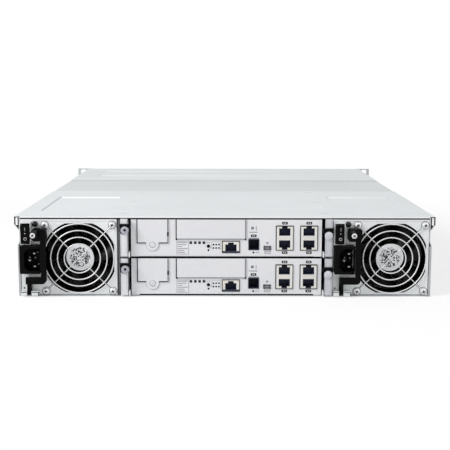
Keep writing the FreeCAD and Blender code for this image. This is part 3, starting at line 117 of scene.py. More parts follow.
def aim_camera():
    """Turn yaw, pitch and roll into the camera's three axes, and place it."""
    forward = Vector((
        math.sin(CAMERA_YAW) * math.cos(CAMERA_PITCH),
        math.cos(CAMERA_YAW) * math.cos(CAMERA_PITCH),
        -math.sin(CAMERA_PITCH),
    ))
    level = Vector((math.cos(CAMERA_YAW), -math.sin(CAMERA_YAW), 0))
    down = forward.cross(level)
    right = level * math.cos(CAMERA_ROLL) + down * math.sin(CAMERA_ROLL)
    lower = down * math.cos(CAMERA_ROLL) - level * math.sin(CAMERA_ROLL)
    turn = Matrix((right, -lower, -forward)).transposed().to_4x4()
    camera = bpy.data.objects.new("camera", bpy.data.cameras.new("camera"))
    bpy.context.scene.collection.objects.link(camera)
    camera.matrix_world = Matrix.Translation(CAMERA_PLACE) @ turn
    camera.data.lens = LENS
    camera.data.clip_start = 0.01
    bpy.context.scene.camera = camera
    return camera


camera = aim_camera()
print("lens, mm:", round(camera.data.lens, 2), "sensor, mm:", camera.data.sensor_width)

# %% [markdown]
# ## Shader maths as Python expressions
# A material is a small graph of nodes joined by links. `Value` wraps a socket so that sums,
# products and comparisons of sockets can be written as ordinary Python: each operator makes one
# Math node and returns its output. Only the operators that the finishes need are here.

# %% Sockets as values
class Value:
    """A socket of a shader graph that can be added, multiplied and compared."""

    def __init__(self, shader, socket):
        self.shader = shader
        self.socket = socket

    def combine(self, operation, first, second):
        """One Math node."""
        return self.shader.node("ShaderNodeMath", {"operation": operation}, {0: first, 1: second})

    def __add__(self, other):
        return self.combine("ADD", self, other)

    def __mul__(self, other):
        return self.combine("MULTIPLY", self, other)

    def __rsub__(self, other):
        return self.combine("SUBTRACT", other, self)

    def __gt__(self, other):
        return self.combine("GREATER_THAN", self, other)


print("sockets can be added, multiplied, compared, and taken from a number")

# %% [markdown]
# `Shader` is one material. Its method `node` makes any node: its settings first, then its inputs,
# which may be numbers, colours or links. The other methods are the few pieces of graph that every
# finish uses: a place on the object, a noise, a mix of two colours, a bump and the last shader.

# %% A material and its nodes
class Shader:
    """A material whose nodes are made by one method."""

    def __init__(self, name):
        self.material = bpy.data.materials.new(name)
        self.material.use_nodes = True
        self.tree = self.material.node_tree
        self.tree.nodes.clear()

    def node(self, kind, settings=None, inputs=None, output=0):
        """Any node: its settings are set first, then its inputs; the result is one output."""
        made = self.tree.nodes.new(kind)
        for key, value in (settings or {}).items():
            if key == "stops":
                self.set_stops(made.color_ramp, value)
            else:
                setattr(made, key, value)
        for key, value in (inputs or {}).items():
            socket = made.inputs[key]
            if isinstance(value, Value):
                self.tree.links.new(value.socket, socket)
            else:
                socket.default_value = value
        return Value(self, made.outputs[output])

    @staticmethod
    def set_stops(ramp, stops):
        """Grey stops (position, level) of a colour ramp."""
        while len(ramp.elements) < len(stops):
            ramp.elements.new(0.5)
        for element, (position, level) in zip(ramp.elements, stops):
            element.position = position
            element.color = (level, level, level, 1)

    def place(self, scale=(1, 1, 1)):
        """Object coordinates in metres, stretched by scale."""
        where = self.node("ShaderNodeTexCoord", output="Object")
        return self.node("ShaderNodeMapping", {}, {"Vector": where, "Scale": scale})

    def noise(self, scale, detail=2.0, stretch=(1, 1, 1)):
        """Noise from 0 to 1; a large stretch along one axis makes the grain run across it."""
        settings = {"noise_dimensions": "3D"}
        inputs = {"Vector": self.place(stretch), "Scale": scale, "Detail": detail}
        return self.node("ShaderNodeTexNoise", settings, inputs)

    def blend(self, factor, first, second):
        """Mix two colours."""
        mix = self.tree.nodes.new("ShaderNodeMix")
        mix.data_type = "RGBA"
        for socket, value in zip((mix.inputs[0], mix.inputs[6], mix.inputs[7]),
                                 (factor, first, second)):
            if isinstance(value, Value):
                self.tree.links.new(value.socket, socket)
            else:
                socket.default_value = value
        return Value(self, mix.outputs[2])

    def bump(self, height, strength, distance):
        """A normal that is tilted by the slope of a height."""
        inputs = {"Height": height, "Strength": strength, "Distance": distance}
        return self.node("ShaderNodeBump", {}, inputs)

    def surface(self, **sockets):
        """End the graph in a Principled shader; names use _ for spaces."""
        inputs = {name.replace("_", " "): value for name, value in sockets.items()}
        shader = self.node("ShaderNodeBsdfPrincipled", {}, inputs, output="BSDF")
        self.node_output(shader)
        return self.material

    def node_output(self, shader):
        """Link a finished shader to the material's output."""
        output = self.tree.nodes.new("ShaderNodeOutputMaterial")
        self.tree.links.new(shader.socket, output.inputs["Surface"])


def linear(level):
    """One channel of a display colour, 0 to 255, as the linear number a shader needs."""
    share = level / 255
    return share / 12.92 if share <= 0.04045 else ((share + 0.055) / 1.055) ** 2.4


def colour(red, green=None, blue=None):
    """A display colour, or one grey level, as linear red, green, blue and alpha."""
    green = red if green is None else green
    blue = red if blue is None else blue
    return (linear(red), linear(green), linear(blue), 1)


print("mid grey as linear:", round(linear(128), 3))

# %% [markdown]
# ## Sheet metal
# The covers are cold-rolled steel with a light silver coat. What tells such a sheet from flat
# grey is a very fine grain along the rolling direction, a slow change of tone over large areas,
# and a roughness that isn't the same everywhere. Each sheet gets the same recipe with its own
# tone, so one function makes them all.

# %% Coated sheet
GRAIN_DEPTH = 0.0002            # metres


def sheet_metal(name, light, dark, rough, metallic, grain=(1, 30, 1), bump=0.04):
    """Coated steel: stretched fine noise for the grain, broad noise for the tone."""
    shader = Shader(name)
    fine = shader.noise(900, 2, grain)
    broad = shader.noise(9, 3)
    tone = broad * 0.75 + fine * 0.25
    steps = [(0.35, 0.0), (0.65, 1.0)]
    share = shader.node("ShaderNodeValToRGB", {"stops": steps}, {"Fac": tone})
    base = shader.blend(share, dark, light)
    roughness = fine * 0.10 + broad * 0.10 + (rough - 0.10)
    normal = shader.bump(fine, bump, GRAIN_DEPTH)
    return shader.surface(Base_Color=base, Roughness=roughness, Metallic=metallic, Normal=normal)


COVER_COAT = sheet_metal("cover_coat", colour(223, 227, 229), colour(216, 220, 222), 0.46, 0.2)
PLATE_COAT = sheet_metal("plate_coat", colour(212, 216, 217), colour(205, 209, 210), 0.46, 0.2)
TRAY_COAT = sheet_metal("tray_coat", colour(208, 211, 214), colour(198, 201, 204), 0.45, 0.3)
NICKEL = sheet_metal("nickel_panel", colour(234, 237, 238), colour(224, 227, 228), 0.38, 0.25,
                     (1, 1, 30))
FACE_WHITE = sheet_metal("face_white", colour(226, 226, 229), colour(219, 220, 223), 0.50, 0.05)
LID_WHITE = sheet_metal("lid_white", colour(224, 224, 227), colour(218, 219, 222), 0.48, 0.05)
HANDLE_STEEL = sheet_metal("handle_steel", colour(234, 235, 238), colour(216, 217, 221), 0.36, 0.3,
                           (30, 1, 1))
HANDLE_SHADE = sheet_metal("handle_shade", colour(206, 208, 213), colour(184, 187, 193), 0.36, 0.3,
                           (30, 1, 1))
# Darker than the covers: painted shade on the ears' backs.
EAR_SHADED_GREY = sheet_metal("ear_shaded_grey", colour(194, 198, 200), colour(182, 186, 188), 0.5, 0.2)
WALL_EDGE = sheet_metal("wall_edge", colour(188, 191, 194), colour(176, 180, 183), 0.5, 0.2)
GUARD_WIRE = sheet_metal("guard_wire", colour(232, 233, 234), colour(214, 215, 217), 0.46, 0.35,
                         (1, 1, 1))
# A line of painted shade along the crease of a supply's panel.
PANEL_LINE_SHADE = sheet_metal("crease", colour(196, 199, 201), colour(184, 187, 190), 0.5, 0.2)
CAGE_ZINC = sheet_metal("cage_zinc", colour(190, 192, 194), colour(170, 172, 175), 0.4, 0.7)
print("sheet finishes:", len(bpy.data.materials))

# %% [markdown]
# ## Plastics, seams, labels and bright metal
# The black parts are moulded in glass-filled plastic with a fine spark-eroded texture: nearly
# black, a little lighter where the texture catches light. One recipe makes them all: two tones
# mixed by a broad noise, and a fine noise that drives the roughness and a bump.

# %% Dark plastics and boards
def moulded_plastic(name, light, dark, rough, texture=2500, strength=0.25, gloss=0.5):
    """Moulded plastic; gloss is the strength of its plain reflection, the same all over."""
    shader = Shader(name)
    grain = shader.noise(texture, 1)
    broad = shader.noise(40, 2)
    base = shader.blend(broad, dark, light)
    roughness = grain * 0.12 + (rough - 0.06)
    normal = shader.bump(grain, strength, GRAIN_DEPTH / 2)
    return shader.surface(Base_Color=base, Roughness=roughness, Normal=normal,
                          Specular_IOR_Level=gloss)


BLACK_PLASTIC = moulded_plastic("black_plastic", colour(9), colour(4), 0.45, gloss=0.07)
ROTOR_PLASTIC = moulded_plastic("rotor_plastic", colour(12), colour(5), 0.40, gloss=0.14)
# Near black: painted shade inside gaps, holes and notches.
SHADE_BLACK = moulded_plastic("shade_black", colour(16, 17, 22), colour(9, 10, 14), 0.8, gloss=0.05)
JACK_LINE = moulded_plastic("jack_line", colour(34, 34, 38), colour(24, 24, 28), 0.5, gloss=0.1)
PORT_NAVY = moulded_plastic("port_navy", colour(58, 64, 84), colour(48, 53, 72), 0.4, gloss=0.15)
SOCKET_PLASTIC = moulded_plastic("socket_plastic", colour(60, 58, 54), colour(46, 45, 42), 0.5)
LEVER_GREY = moulded_plastic("lever_grey", colour(64, 66, 70), colour(52, 54, 58), 0.46,
                             gloss=0.3)
BOARD_GREEN = moulded_plastic("board_green", colour(30, 84, 60), colour(22, 66, 48), 0.4, 800)
print("finishes so far:", len(bpy.data.materials))

# %% [markdown]
# Lighter plastics are the disks' buttons, the tongues in the ports and the grips of the latches.
# Seams, folds and weld spots are drawn as thin strips with a finish of their own, because a strip
# keeps its width and tone in every view, where a real gap of half a millimetre would flicker.

# %% Grey and pale plastics, seams and spots
LATCH_BUTTON = moulded_plastic("latch_button", colour(150, 152, 156), colour(136, 138, 142),
                               0.45)
LATCH_GREY = moulded_plastic("latch_grey", colour(178, 180, 188), colour(150, 152, 162), 0.45)
SHELL_GREY = moulded_plastic("shell_grey", colour(112, 113, 118), colour(96, 97, 102), 0.4)
TONGUE_GREY = moulded_plastic("tongue_grey", colour(150, 150, 154), colour(134, 134, 138), 0.5)
# Painted highlights on the inlet's pins: bright tips and dimmer spots beside them.
TIP_HIGHLIGHT = moulded_plastic("tip_highlight", colour(226), colour(206), 0.3)
SIDE_HIGHLIGHT = moulded_plastic("side_highlight", colour(150), colour(126), 0.3)
# Dark and grey lines: seams round the covers, and painted shade and shadow round screws and wires.
SEAM_AND_SHADE_DARK = moulded_plastic("seam_and_shade_dark", colour(46, 47, 56), colour(30, 31, 40), 0.7, gloss=0.1)
SEAM_AND_SHADE_GREY = moulded_plastic("seam_and_shade_grey", colour(142, 143, 150), colour(124, 125, 132), 0.6,
                            gloss=0.1)
# Grey lines of painted shade in the folds of the handles.
FOLD_LINE_SHADE = moulded_plastic("fold_line_shade", colour(176, 178, 184), colour(160, 162, 168), 0.5)
SLOT_SHADE = moulded_plastic("slot_shade", colour(176, 179, 182), colour(160, 163, 166), 0.6)
# Pure white: painted highlights on weld marks and rivets, and painted light on a supply's plates.
PAINTED_LIGHT = moulded_plastic("painted_light", colour(255), colour(250), 0.3)
print("finishes so far:", len(bpy.data.materials))

# %% [markdown]
# Lenses, light pipes, inks and label films are smooth. They could be plain colours, but even a
# film has a faint unevenness, so they take the recipe of the mouldings with hardly any texture.

# %% Lenses, light pipes, inks and labels
def smooth_plastic(name, light, dark, rough, gloss=0.5):
    """Moulded plastic with a fine and very shallow texture."""
    return moulded_plastic(name, light, dark, rough, 900, 0.02, gloss)


LENS_BLACK = smooth_plastic("lens_black", colour(10), colour(5), 0.16, 0.3)
WINDOW_NAVY = smooth_plastic("window_navy", colour(34, 38, 56), colour(26, 29, 44), 0.2)
LIGHT_LENS = smooth_plastic("light_lens", colour(40, 43, 48), colour(28, 31, 36), 0.2, 0.3)
PORT_LENS = smooth_plastic("port_lens", colour(30), colour(20), 0.2)
PIPE_CREAM = smooth_plastic("pipe_cream", colour(226, 222, 208), colour(212, 206, 190), 0.3)
BAND_CREAM = smooth_plastic("band_cream", colour(224, 222, 216), colour(212, 210, 204), 0.4)
SIGN_INK = smooth_plastic("sign_ink", colour(226), colour(210), 0.5)
LABEL_INK = smooth_plastic("label_ink", colour(40, 42, 48), colour(28, 30, 36), 0.5, 0.15)
LABEL_GREY = smooth_plastic("label_grey", colour(132, 134, 140), colour(116, 118, 124), 0.5, 0.15)
LABEL_ROW = smooth_plastic("label_row", colour(150, 151, 155), colour(132, 133, 138), 0.5)
LABEL_PALE = smooth_plastic("label_pale", colour(214), colour(204), 0.5)
# Pale film of the bare labels; the same white is the painted highlight on the right latches'
# screws.
WHITE_LABEL_AND_HIGHLIGHT = smooth_plastic("white_label_and_highlight", colour(228, 228, 231), colour(222, 222, 225), 0.5)
print("finishes so far:", len(bpy.data.materials))

# %% [markdown]
# Wires, screws, contacts and pins are bare metal: fully metallic, with a noise that spreads the
# roughness a little, as handling and plating do. Their tone comes mostly from what they mirror.

# %% Bright metal
def bright_metal(name, light, dark, rough, scale=400):
    """Bare metal whose wear changes its tone and its roughness together."""
    shader = Shader(name)
    wear = shader.noise(scale, 3)
    base = shader.blend(wear, dark, light)
    roughness = wear * 0.12 + (rough - 0.06)
    return shader.surface(Base_Color=base, Roughness=roughness, Metallic=1.0)


BRIGHT_WIRE = bright_metal("bright_wire", colour(226, 226, 228), colour(204, 204, 206), 0.38)
SCREW_STEEL = bright_metal("screw_steel", colour(236, 236, 238), colour(214, 214, 216), 0.42)
CONTACT_DIM = bright_metal("contact_dim", colour(92, 84, 66), colour(66, 60, 50), 0.4)
# Near white: a painted highlight on the cover's rear fold and on the ends of the rails.
FOLD_HIGHLIGHT = bright_metal("fold_highlight", colour(252), colour(244), 0.35)
# Dark metal for the inlet's pins, darkened as painted shade in the recess.
PIN_SHADE_METAL = bright_metal("pin_shade_metal", colour(84, 82, 78), colour(60, 58, 54), 0.3)
print("finishes so far:", len(bpy.data.materials))

# %% [markdown]
# Some finishes change across one piece. A port shell is bright outside and dark once the surface
# lies inside its mouth, and the foil on a fan's hub is plain at its rim and mottled further in.
# Both read the Object coordinates: a comparison of depth, or the distance from the hub's centre,
# gives the share of each tone, so no second piece and no picture is needed.

# %% Port shells and hub foils
def port_metal(name):
    """Tinned shell outside, dark moulding once the surface lies inside a mouth."""
    shader = Shader(name)
    where = shader.node("ShaderNodeTexCoord", output="Object")
    depth = shader.node("ShaderNodeSeparateXYZ", {}, {"Vector": where}, output="Y")
    inside = depth > (REAR - 0.35) * MM
    wear = shader.noise(400, 3)
    tin = shader.blend(wear, colour(226, 225, 221), colour(236, 235, 231))
    base = shader.blend(inside, tin, colour(70, 79, 106))
    roughness = inside * 0.3 + 0.34
    metallic = (1 - inside) * 0.55
    return shader.surface(Base_Color=base, Roughness=roughness, Metallic=metallic)


def hub_foil(name, centre):
    """A silver foil disc: a plain rim, then soft rings and a mottle, with no print."""
    shader = Shader(name)
    where = shader.node("ShaderNodeTexCoord", output="Object")
    from_middle = shader.node("ShaderNodeVectorMath", {"operation": "DISTANCE"},
                              {0: where, 1: centre * MM}, output="Value")
    mottle = shader.noise(560, 3)
    steps = [(0.45, 0.0), (0.55, 1.0)]
    share = shader.node("ShaderNodeValToRGB", {"stops": steps}, {"Fac": mottle})
    printed = shader.node("ShaderNodeMapRange", {"interpolation_type": "SMOOTHSTEP"}, {
        "Value": from_middle, "From Min": 12.0 * MM, "From Max": 9.6 * MM})
    shade = (1 - share) * printed
    base = shader.blend(shade, colour(236, 238, 240), colour(38, 40, 42))
    roughness = mottle * 0.2 + 0.24
    normal = shader.bump(mottle, 0.25, GRAIN_DEPTH)
    return shader.surface(Base_Color=base, Roughness=roughness, Metallic=0.5, Normal=normal)


PORT_SHELL = port_metal("port_shell")
HUB_FOIL = {side: hub_foil(f"hub_foil_{side}", FAN_CENTRE[side] + Vector((0, 6, 0)))
            for side in SUPPLIES}
print("materials:", len(bpy.data.materials))

# %% [markdown]
# The pressed edges of the covers carry a painted highlight: nearly white on the left, where the
# key lamp's light falls on them, turning to the cover's own tone further right. The carriers of
# the disks are a dark moulding in front with a bright casting behind it. Again one coordinate
# decides which tone shows.

# %% Painted edge highlights and disk carriers
def edge_highlight(name, start, end):
    """Painted highlight: white that turns into the cover's own tone from start to end, left to
    right.
    """
    shader = Shader(name)
    where = shader.node("ShaderNodeTexCoord", output="Object")
    across = shader.node("ShaderNodeSeparateXYZ", {}, {"Vector": where}, output="X")
    share = shader.node("ShaderNodeMapRange", {"interpolation_type": "SMOOTHSTEP"}, {
        "Value": across, "From Min": start * MM, "From Max": end * MM})
    fine = shader.noise(900, 2, (1, 30, 1))
    base = shader.blend(share, colour(255), colour(228, 231, 233))
    return shader.surface(Base_Color=base, Roughness=fine * 0.1 + 0.36, Metallic=0.1)


# Painted highlights on the pressings' edges: white on the left, fading to the right.
BEAD_HIGHLIGHT = edge_highlight("bead_edge", -60, 110)
PANEL_HIGHLIGHT = edge_highlight("panel_edge", 60, 230)


def carrier_metal(name, front, bezel):
    """One disk and its carrier: dark moulding in the bezel, bright cast metal behind it."""
    shader = Shader(name)
    where = shader.node("ShaderNodeTexCoord", output="Object")
    depth = shader.node("ShaderNodeSeparateXYZ", {}, {"Vector": where}, output="Y")
    moulded = depth > (front - bezel) * MM
    fine = shader.noise(1600, 2)
    cast = shader.blend(fine, colour(186, 188, 190), colour(206, 208, 210))
    plastic = shader.blend(fine, colour(58, 60, 64), colour(70, 72, 76))
    base = shader.blend(moulded, cast, plastic)
    normal = shader.bump(fine, 0.12, GRAIN_DEPTH)
    return shader.surface(Base_Color=base, Roughness=fine * 0.12 + 0.38,
                          Metallic=(1 - moulded) * 0.7, Normal=normal)


CARRIER_FRONT = node_box("drive_module_01")[1].y
BEZEL = 18.5                    # how deep the dark moulding reaches
CARRIER = carrier_metal("carrier", CARRIER_FRONT, BEZEL)
print("carrier front, mm:", round(CARRIER_FRONT, 2))

# %% [markdown]
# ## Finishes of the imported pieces
# Many pieces of the shelf have the right shape already and only need their finish. A few have a
# name of their own here; the others come in sets, one for each supply, controller or drive
# module, so the end of the name says which finish it is.

# %% Give every node its finish
FINISHES = {
    "chassis_tray": TRAY_COAT, "rear_cover": COVER_COAT, "middle_plate": PLATE_COAT,
    "front_cover": COVER_COAT, "bay_frame": CAGE_ZINC, "disk_cage": CAGE_ZINC,
    "midplane_board": BOARD_GREEN, "board_sockets": SOCKET_PLASTIC,
    "mounting_ear_left": EAR_SHADED_GREY, "mounting_ear_right": EAR_SHADED_GREY,
}
ENDINGS = {
    "_case": FACE_WHITE, "_board": BOARD_GREEN, "_battery_cover": FACE_WHITE,
    "_slot_cover": FACE_WHITE, "_network_jacks": PORT_SHELL, "_service_ports": PORT_NAVY,
    "_button": BLACK_PLASTIC, "_ejector_left": HANDLE_STEEL, "_ejector_right": HANDLE_SHADE,
    "_latch_left": BLACK_PLASTIC, "_latch_right": BLACK_PLASTIC, "_fan_frame": BLACK_PLASTIC,
    "_fan_rotor": ROTOR_PLASTIC, "_fan_guard": BRIGHT_WIRE, "_fan_screws": SCREW_STEEL,
    "_inlet": BLACK_PLASTIC, "_switch": BLACK_PLASTIC, "_lever": BLACK_PLASTIC,
}
for name, node in frame["nodes"].items():
    finish = FINISHES.get(name)
    if finish is None and name.startswith("drive_module"):
        finish = CARRIER
    if finish is None:
        finish = next(coat for ending, coat in ENDINGS.items() if name.endswith(ending))
    if name.startswith("psu") and name.endswith("_case"):
        finish = NICKEL
    node.data.materials.clear()
    node.data.materials.append(finish)
print("nodes with a finish:", len(frame["nodes"]))

# %% [markdown]
# ## Tools for new pieces
# Each new piece is drawn with bmesh operators in millimetres, in the shelf's own frame, and
# `finish_piece` turns it into an object in metres. The mesh itself holds the place, so the
# object stays at the origin, as the export expects. Faces that meet at less than 35 degrees are
# shaded smooth and sharper edges stay crisp.

# %% From a bmesh to a finished piece
SMOOTH_BELOW = math.radians(35)
BEVEL_ABOVE = math.radians(30)
FLAT_WITHIN = math.radians(0.5)
PIECES = []


def finish_piece(name, mesh, finish, body, recalculate=True):
    """Turn a drawing in millimetres into a piece that rides on a body."""
    if recalculate:
        bmesh.ops.remove_doubles(mesh, verts=mesh.verts, dist=0.001)
        bmesh.ops.recalc_face_normals(mesh, faces=mesh.faces)
    bmesh.ops.scale(mesh, vec=(MM, MM, MM), verts=mesh.verts)
    data = bpy.data.meshes.new(name)
    mesh.to_mesh(data)
    mesh.free()
    data.materials.append(finish)
    for face in data.polygons:
        face.use_smooth = True
    data.set_sharp_from_angle(angle=SMOOTH_BELOW)
    piece = bpy.data.objects.new(name, data)
    bpy.context.scene.collection.objects.link(piece)
    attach(piece, body)
    PIECES.append(piece)
    return piece


def soften(node, name, finish, width, segments=2):
    """A merged copy of a CAD node with rounded edges; it stands for the node."""
    mesh = bmesh.new()
    mesh.from_mesh(frame["nodes"][node].data)
    bmesh.ops.remove_doubles(mesh, verts=mesh.verts, dist=1e-6)
    bmesh.ops.scale(mesh, vec=(1 / MM, 1 / MM, 1 / MM), verts=mesh.verts)
    bmesh.ops.dissolve_limit(mesh, angle_limit=FLAT_WITHIN, verts=mesh.verts, edges=mesh.edges)
    piece = finish_piece(name, mesh, finish, BODY_OF[node], recalculate=False)
    bevel = piece.modifiers.new("edges", "BEVEL")
    bevel.width = width * MM
    bevel.segments = segments
    bevel.limit_method = "ANGLE"
    bevel.angle_limit = BEVEL_ABOVE
    bevel.harden_normals = True
    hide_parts(node)
    return piece


print("edges are rounded above, degrees:", round(math.degrees(BEVEL_ABOVE)))

# %% [markdown]
# Nearly every small piece is put together from a few forms: a box, a box with rounded corners, a
# ramp, a rod, a ring of wire and a turned form. Each comes from one bmesh operator that is then
# moved to its place. A drawing can hold several forms, and becomes one piece.

# %% Simple shapes, added to a drawing
def edges_of(verts):
    """Every edge at these vertices, once each and always in the same order."""
    return list(dict.fromkeys(edge for vert in verts for edge in vert.link_edges))


def add_box(mesh, low, high):
    """A box between two corners."""
    low, high = Vector(low), Vector(high)
    made = bmesh.ops.create_cube(mesh, size=1)["verts"]
    bmesh.ops.scale(mesh, vec=high - low, verts=made)
    bmesh.ops.translate(mesh, vec=(low + high) / 2, verts=made)
    return made


WEDGE_FOOT = 0.3                # a ramp's foot reaches this far into the sheet


def add_wedge(mesh, left, right, start, end, low, high):
    """A low ramp that rises from start to end, seen from the rear."""
    made = add_box(mesh, (left, start, low - WEDGE_FOOT), (right, end, high))
    for vert in made:
        if vert.co.z > low and vert.co.y < (start + end) / 2:
            vert.co.z = low


def add_round_box(mesh, low, high, radius, segments=3):
    """A box whose four edges along Y are rounded."""
    made = add_box(mesh, low, high)
    edges = [edge for edge in edges_of(made)
             if abs(edge.verts[0].co.y - edge.verts[1].co.y) > 1e-6]
    bmesh.ops.bevel(mesh, geom=edges, offset=radius, segments=segments, profile=0.5,
                    affect="EDGES", offset_type="OFFSET", material=-1)


def add_rod(mesh, start, end, radius, sides=12, tip=None):
    """A round rod, or a cone if tip is given, between two points."""
    start, end = Vector(start), Vector(end)
    along = end - start
    made = bmesh.ops.create_cone(mesh, cap_ends=True, segments=sides, radius1=radius,
                                 radius2=radius if tip is None else tip, depth=along.length)
    turn = along.to_track_quat("Z", "Y").to_matrix()
    bmesh.ops.rotate(mesh, cent=(0, 0, 0), matrix=turn, verts=made["verts"])
    bmesh.ops.translate(mesh, vec=(start + end) / 2, verts=made["verts"])


def add_torus(mesh, centre, radius, wire, sides=12, steps=72):
    """A round wire bent to a ring about the Y axis: a small circle spun all the way."""
    centre = Vector(centre)
    made = bmesh.ops.create_circle(mesh, segments=sides, radius=wire)["verts"]
    bmesh.ops.rotate(mesh, cent=(0, 0, 0), matrix=turn_about("Z", 90), verts=made)
    bmesh.ops.translate(mesh, vec=centre + Vector((radius, 0, 0)), verts=made)
    bmesh.ops.spin(mesh, geom=made + edges_of(made), cent=centre, axis=(0, 1, 0), angle=math.tau,
                   steps=steps, use_merge=True)


def add_drawing(mesh, drawing):
    """Copy one drawing into another, and free it."""
    data = bpy.data.meshes.new("drawing")
    drawing.to_mesh(data)
    drawing.free()
    mesh.from_mesh(data)
    bpy.data.meshes.remove(data)


def turn_about(axis, degrees):
    """The matrix of a turn, for bmesh.ops.rotate."""
    return Matrix.Rotation(math.radians(degrees), 3, axis)


def add_turned(mesh, centre, profile, steps=32):
    """A turned form about an axis along Y, closed at its back; the profile is (radius, depth)."""
    centre = Vector(centre)
    if profile[-1][0] > 0 and profile[-1] != profile[0]:
        profile = profile + [(0, profile[-1][1])]
    verts = [mesh.verts.new(centre + Vector((radius, depth, 0))) for radius, depth in profile]
    edges = [mesh.edges.new(pair) for pair in zip(verts, verts[1:])]
    bmesh.ops.spin(mesh, geom=verts + edges, cent=centre, axis=(0, 1, 0), angle=math.tau,
                   steps=steps, use_merge=True)


trial = bmesh.new()
add_round_box(trial, (0, 0, 0), (10, 1, 6), 1.0)
print("faces of a plate with rounded corners:", len(trial.faces))
trial.free()

# %% [markdown]
# A cross-recess screw is seen about twenty times on this shelf. Its head starts as a grid of
# three by three faces: the five that form a cross are extruded inwards and their first faces
# deleted, and the grid's edge is bridged to a circle that is extruded outwards and down, so that
# the head is domed and its recess is a real hollow with walls.

# %% Cross-recess screw head
def add_screw(mesh, centre, radius, height, turn=0.0, steps=24):
    """A domed head that faces -Y, its seat at the centre's depth."""
    head = bmesh.new()
    arm = radius * 0.52
    bmesh.ops.create_grid(head, x_segments=3, y_segments=3, size=arm)
    for vert in head.verts:
        vert.co.x *= 0.6 if abs(vert.co.x) < arm * 0.9 else 1
        vert.co.y *= 0.6 if abs(vert.co.y) < arm * 0.9 else 1
    middle = arm * 0.5
    cross = [face for face in head.faces
             if min(abs(value) for value in face.calc_center_median().xy) < middle / 4]
    rim = [edge for edge in head.edges if edge.is_boundary]
    sunk = bmesh.ops.extrude_face_region(head, geom=cross)["geom"]
    bmesh.ops.delete(head, geom=cross, context="FACES")
    verts = [item for item in sunk if isinstance(item, bmesh.types.BMVert)]
    bmesh.ops.translate(head, vec=(0, 0, -height * 0.8), verts=verts)
    bmesh.ops.scale(head, vec=(0.8, 0.8, 1), verts=verts)
    ring = bmesh.ops.create_circle(head, segments=steps, radius=radius * 0.72)["verts"]
    bmesh.ops.translate(head, vec=(0, 0, -height * 0.1), verts=ring)
    edges = edges_of(ring)
    rim = [edge for edge in rim if edge.is_valid]
    bmesh.ops.bridge_loops(head, edges=rim + edges)
    for share, depth in ((0.93, 0.35), (1.0, 0.7), (1.0, 1.0)):
        grown = bmesh.ops.extrude_edge_only(head, edges=edges)["geom"]
        ring = [item for item in grown if isinstance(item, bmesh.types.BMVert)]
        edges = [item for item in grown if isinstance(item, bmesh.types.BMEdge)
                 and all(vert in ring for vert in item.verts)]
        for vert in ring:
            level = vert.co.xy.normalized() * radius * share
            vert.co = (level.x, level.y, -height * depth)
    bmesh.ops.holes_fill(head, edges=edges, sides=steps)
    bmesh.ops.recalc_face_normals(head, faces=head.faces)
    facing = turn_about("Y", turn) @ turn_about("X", 90)
    bmesh.ops.transform(head, matrix=facing.to_4x4(), verts=head.verts)
    bmesh.ops.translate(head, vec=Vector(centre) - Vector((0, height, 0)), verts=head.verts)
    add_drawing(mesh, head)


def add_cross(mesh, centre, radius, height, turn=0.0):
    """The shaded floor of a head's recess: two crossed bars, for a dark finish."""
    half, thin = radius * 0.5, radius * 0.15
    bars = bmesh.new()
    for across, up in ((half, thin), (thin, half)):
        add_box(bars, (-across, 0, -up), (across, height * 0.3, up))
    bmesh.ops.rotate(bars, cent=(0, 0, 0), matrix=turn_about("Y", turn), verts=bars.verts)
    lift = Vector((0, height * 1.02, 0))
    bmesh.ops.translate(bars, vec=Vector(centre) - lift, verts=bars.verts)
    add_drawing(mesh, bars)


trial = bmesh.new()
add_screw(trial, (0, 0, 0), 3.6, 1.7)
print("faces of one screw head:", len(trial.faces))
trial.free()

# %% [markdown]
# ## Power supplies
# Both supplies are the same part. Each is drawn by functions that take the side's name, so one
# description makes both. The guard is bent from bright wire: four rings lie on two crossed wires,
# and each crossed wire ends in an eyelet that a screw holds. A ring is a small circle spun about
# the fan's axis, which keeps the wire round wherever it is seen from.

# %% Wires of the fan guards
WIRE = 0.65                     # radius of the rings' wire
CROSS_WIRE = 0.48
RING_RADII = (15.6, 22.8, 30.0, 37.2)
HOLE_HALF = 71.5 / 2            # half the distance between an 80 mm fan's screw holes
CROSS_DEPTH = -1.1
RING_DEPTH = -2.5
EYELET = 3.2
CORNERS = [(across, up) for across in (-1, 1) for up in (-1, 1)]


def screw_hole(centre, across, up, depth):
    """One of the four screw places round a fan, at a depth behind the rear face."""
    return centre + Vector((HOLE_HALF * across, depth, HOLE_HALF * up))


def draw_guard(side):
    """Four rings, two crossed wires and their eyelets."""
    centre = FAN_CENTRE[side]
    mesh = bmesh.new()
    for radius in RING_RADII:
        add_torus(mesh, centre + Vector((0, RING_DEPTH, 0)), radius, WIRE, 10, 96)
    reach = HOLE_HALF - EYELET * math.sqrt(0.5)
    for slope in (-1, 1):
        start = centre + Vector((-reach, CROSS_DEPTH, -reach * slope))
        end = centre + Vector((reach, CROSS_DEPTH, reach * slope))
        add_rod(mesh, start, end, CROSS_WIRE, 10)
    for across, up in CORNERS:
        add_torus(mesh, screw_hole(centre, across, up, CROSS_DEPTH), EYELET, CROSS_WIRE, 10, 32)
    guard = finish_piece(f"psu_{side}_guard_wires", mesh, GUARD_WIRE, f"psu_{side}",
                         recalculate=False)
    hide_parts(f"psu_{side}_fan_guard")
    return guard


print("wire of one guard's rings, mm:", round(math.tau * sum(RING_RADII)))

# %% [markdown]
# Each eyelet is held by a domed screw, and no two screws stop at the same angle. A ring of
# painted shadow runs round every eyelet, and lines of painted shadow lie under the crossed wires
# outside the rings. Each is drawn a little off its sheet in a darker finish, which costs far
# fewer faces than cutting the panel.

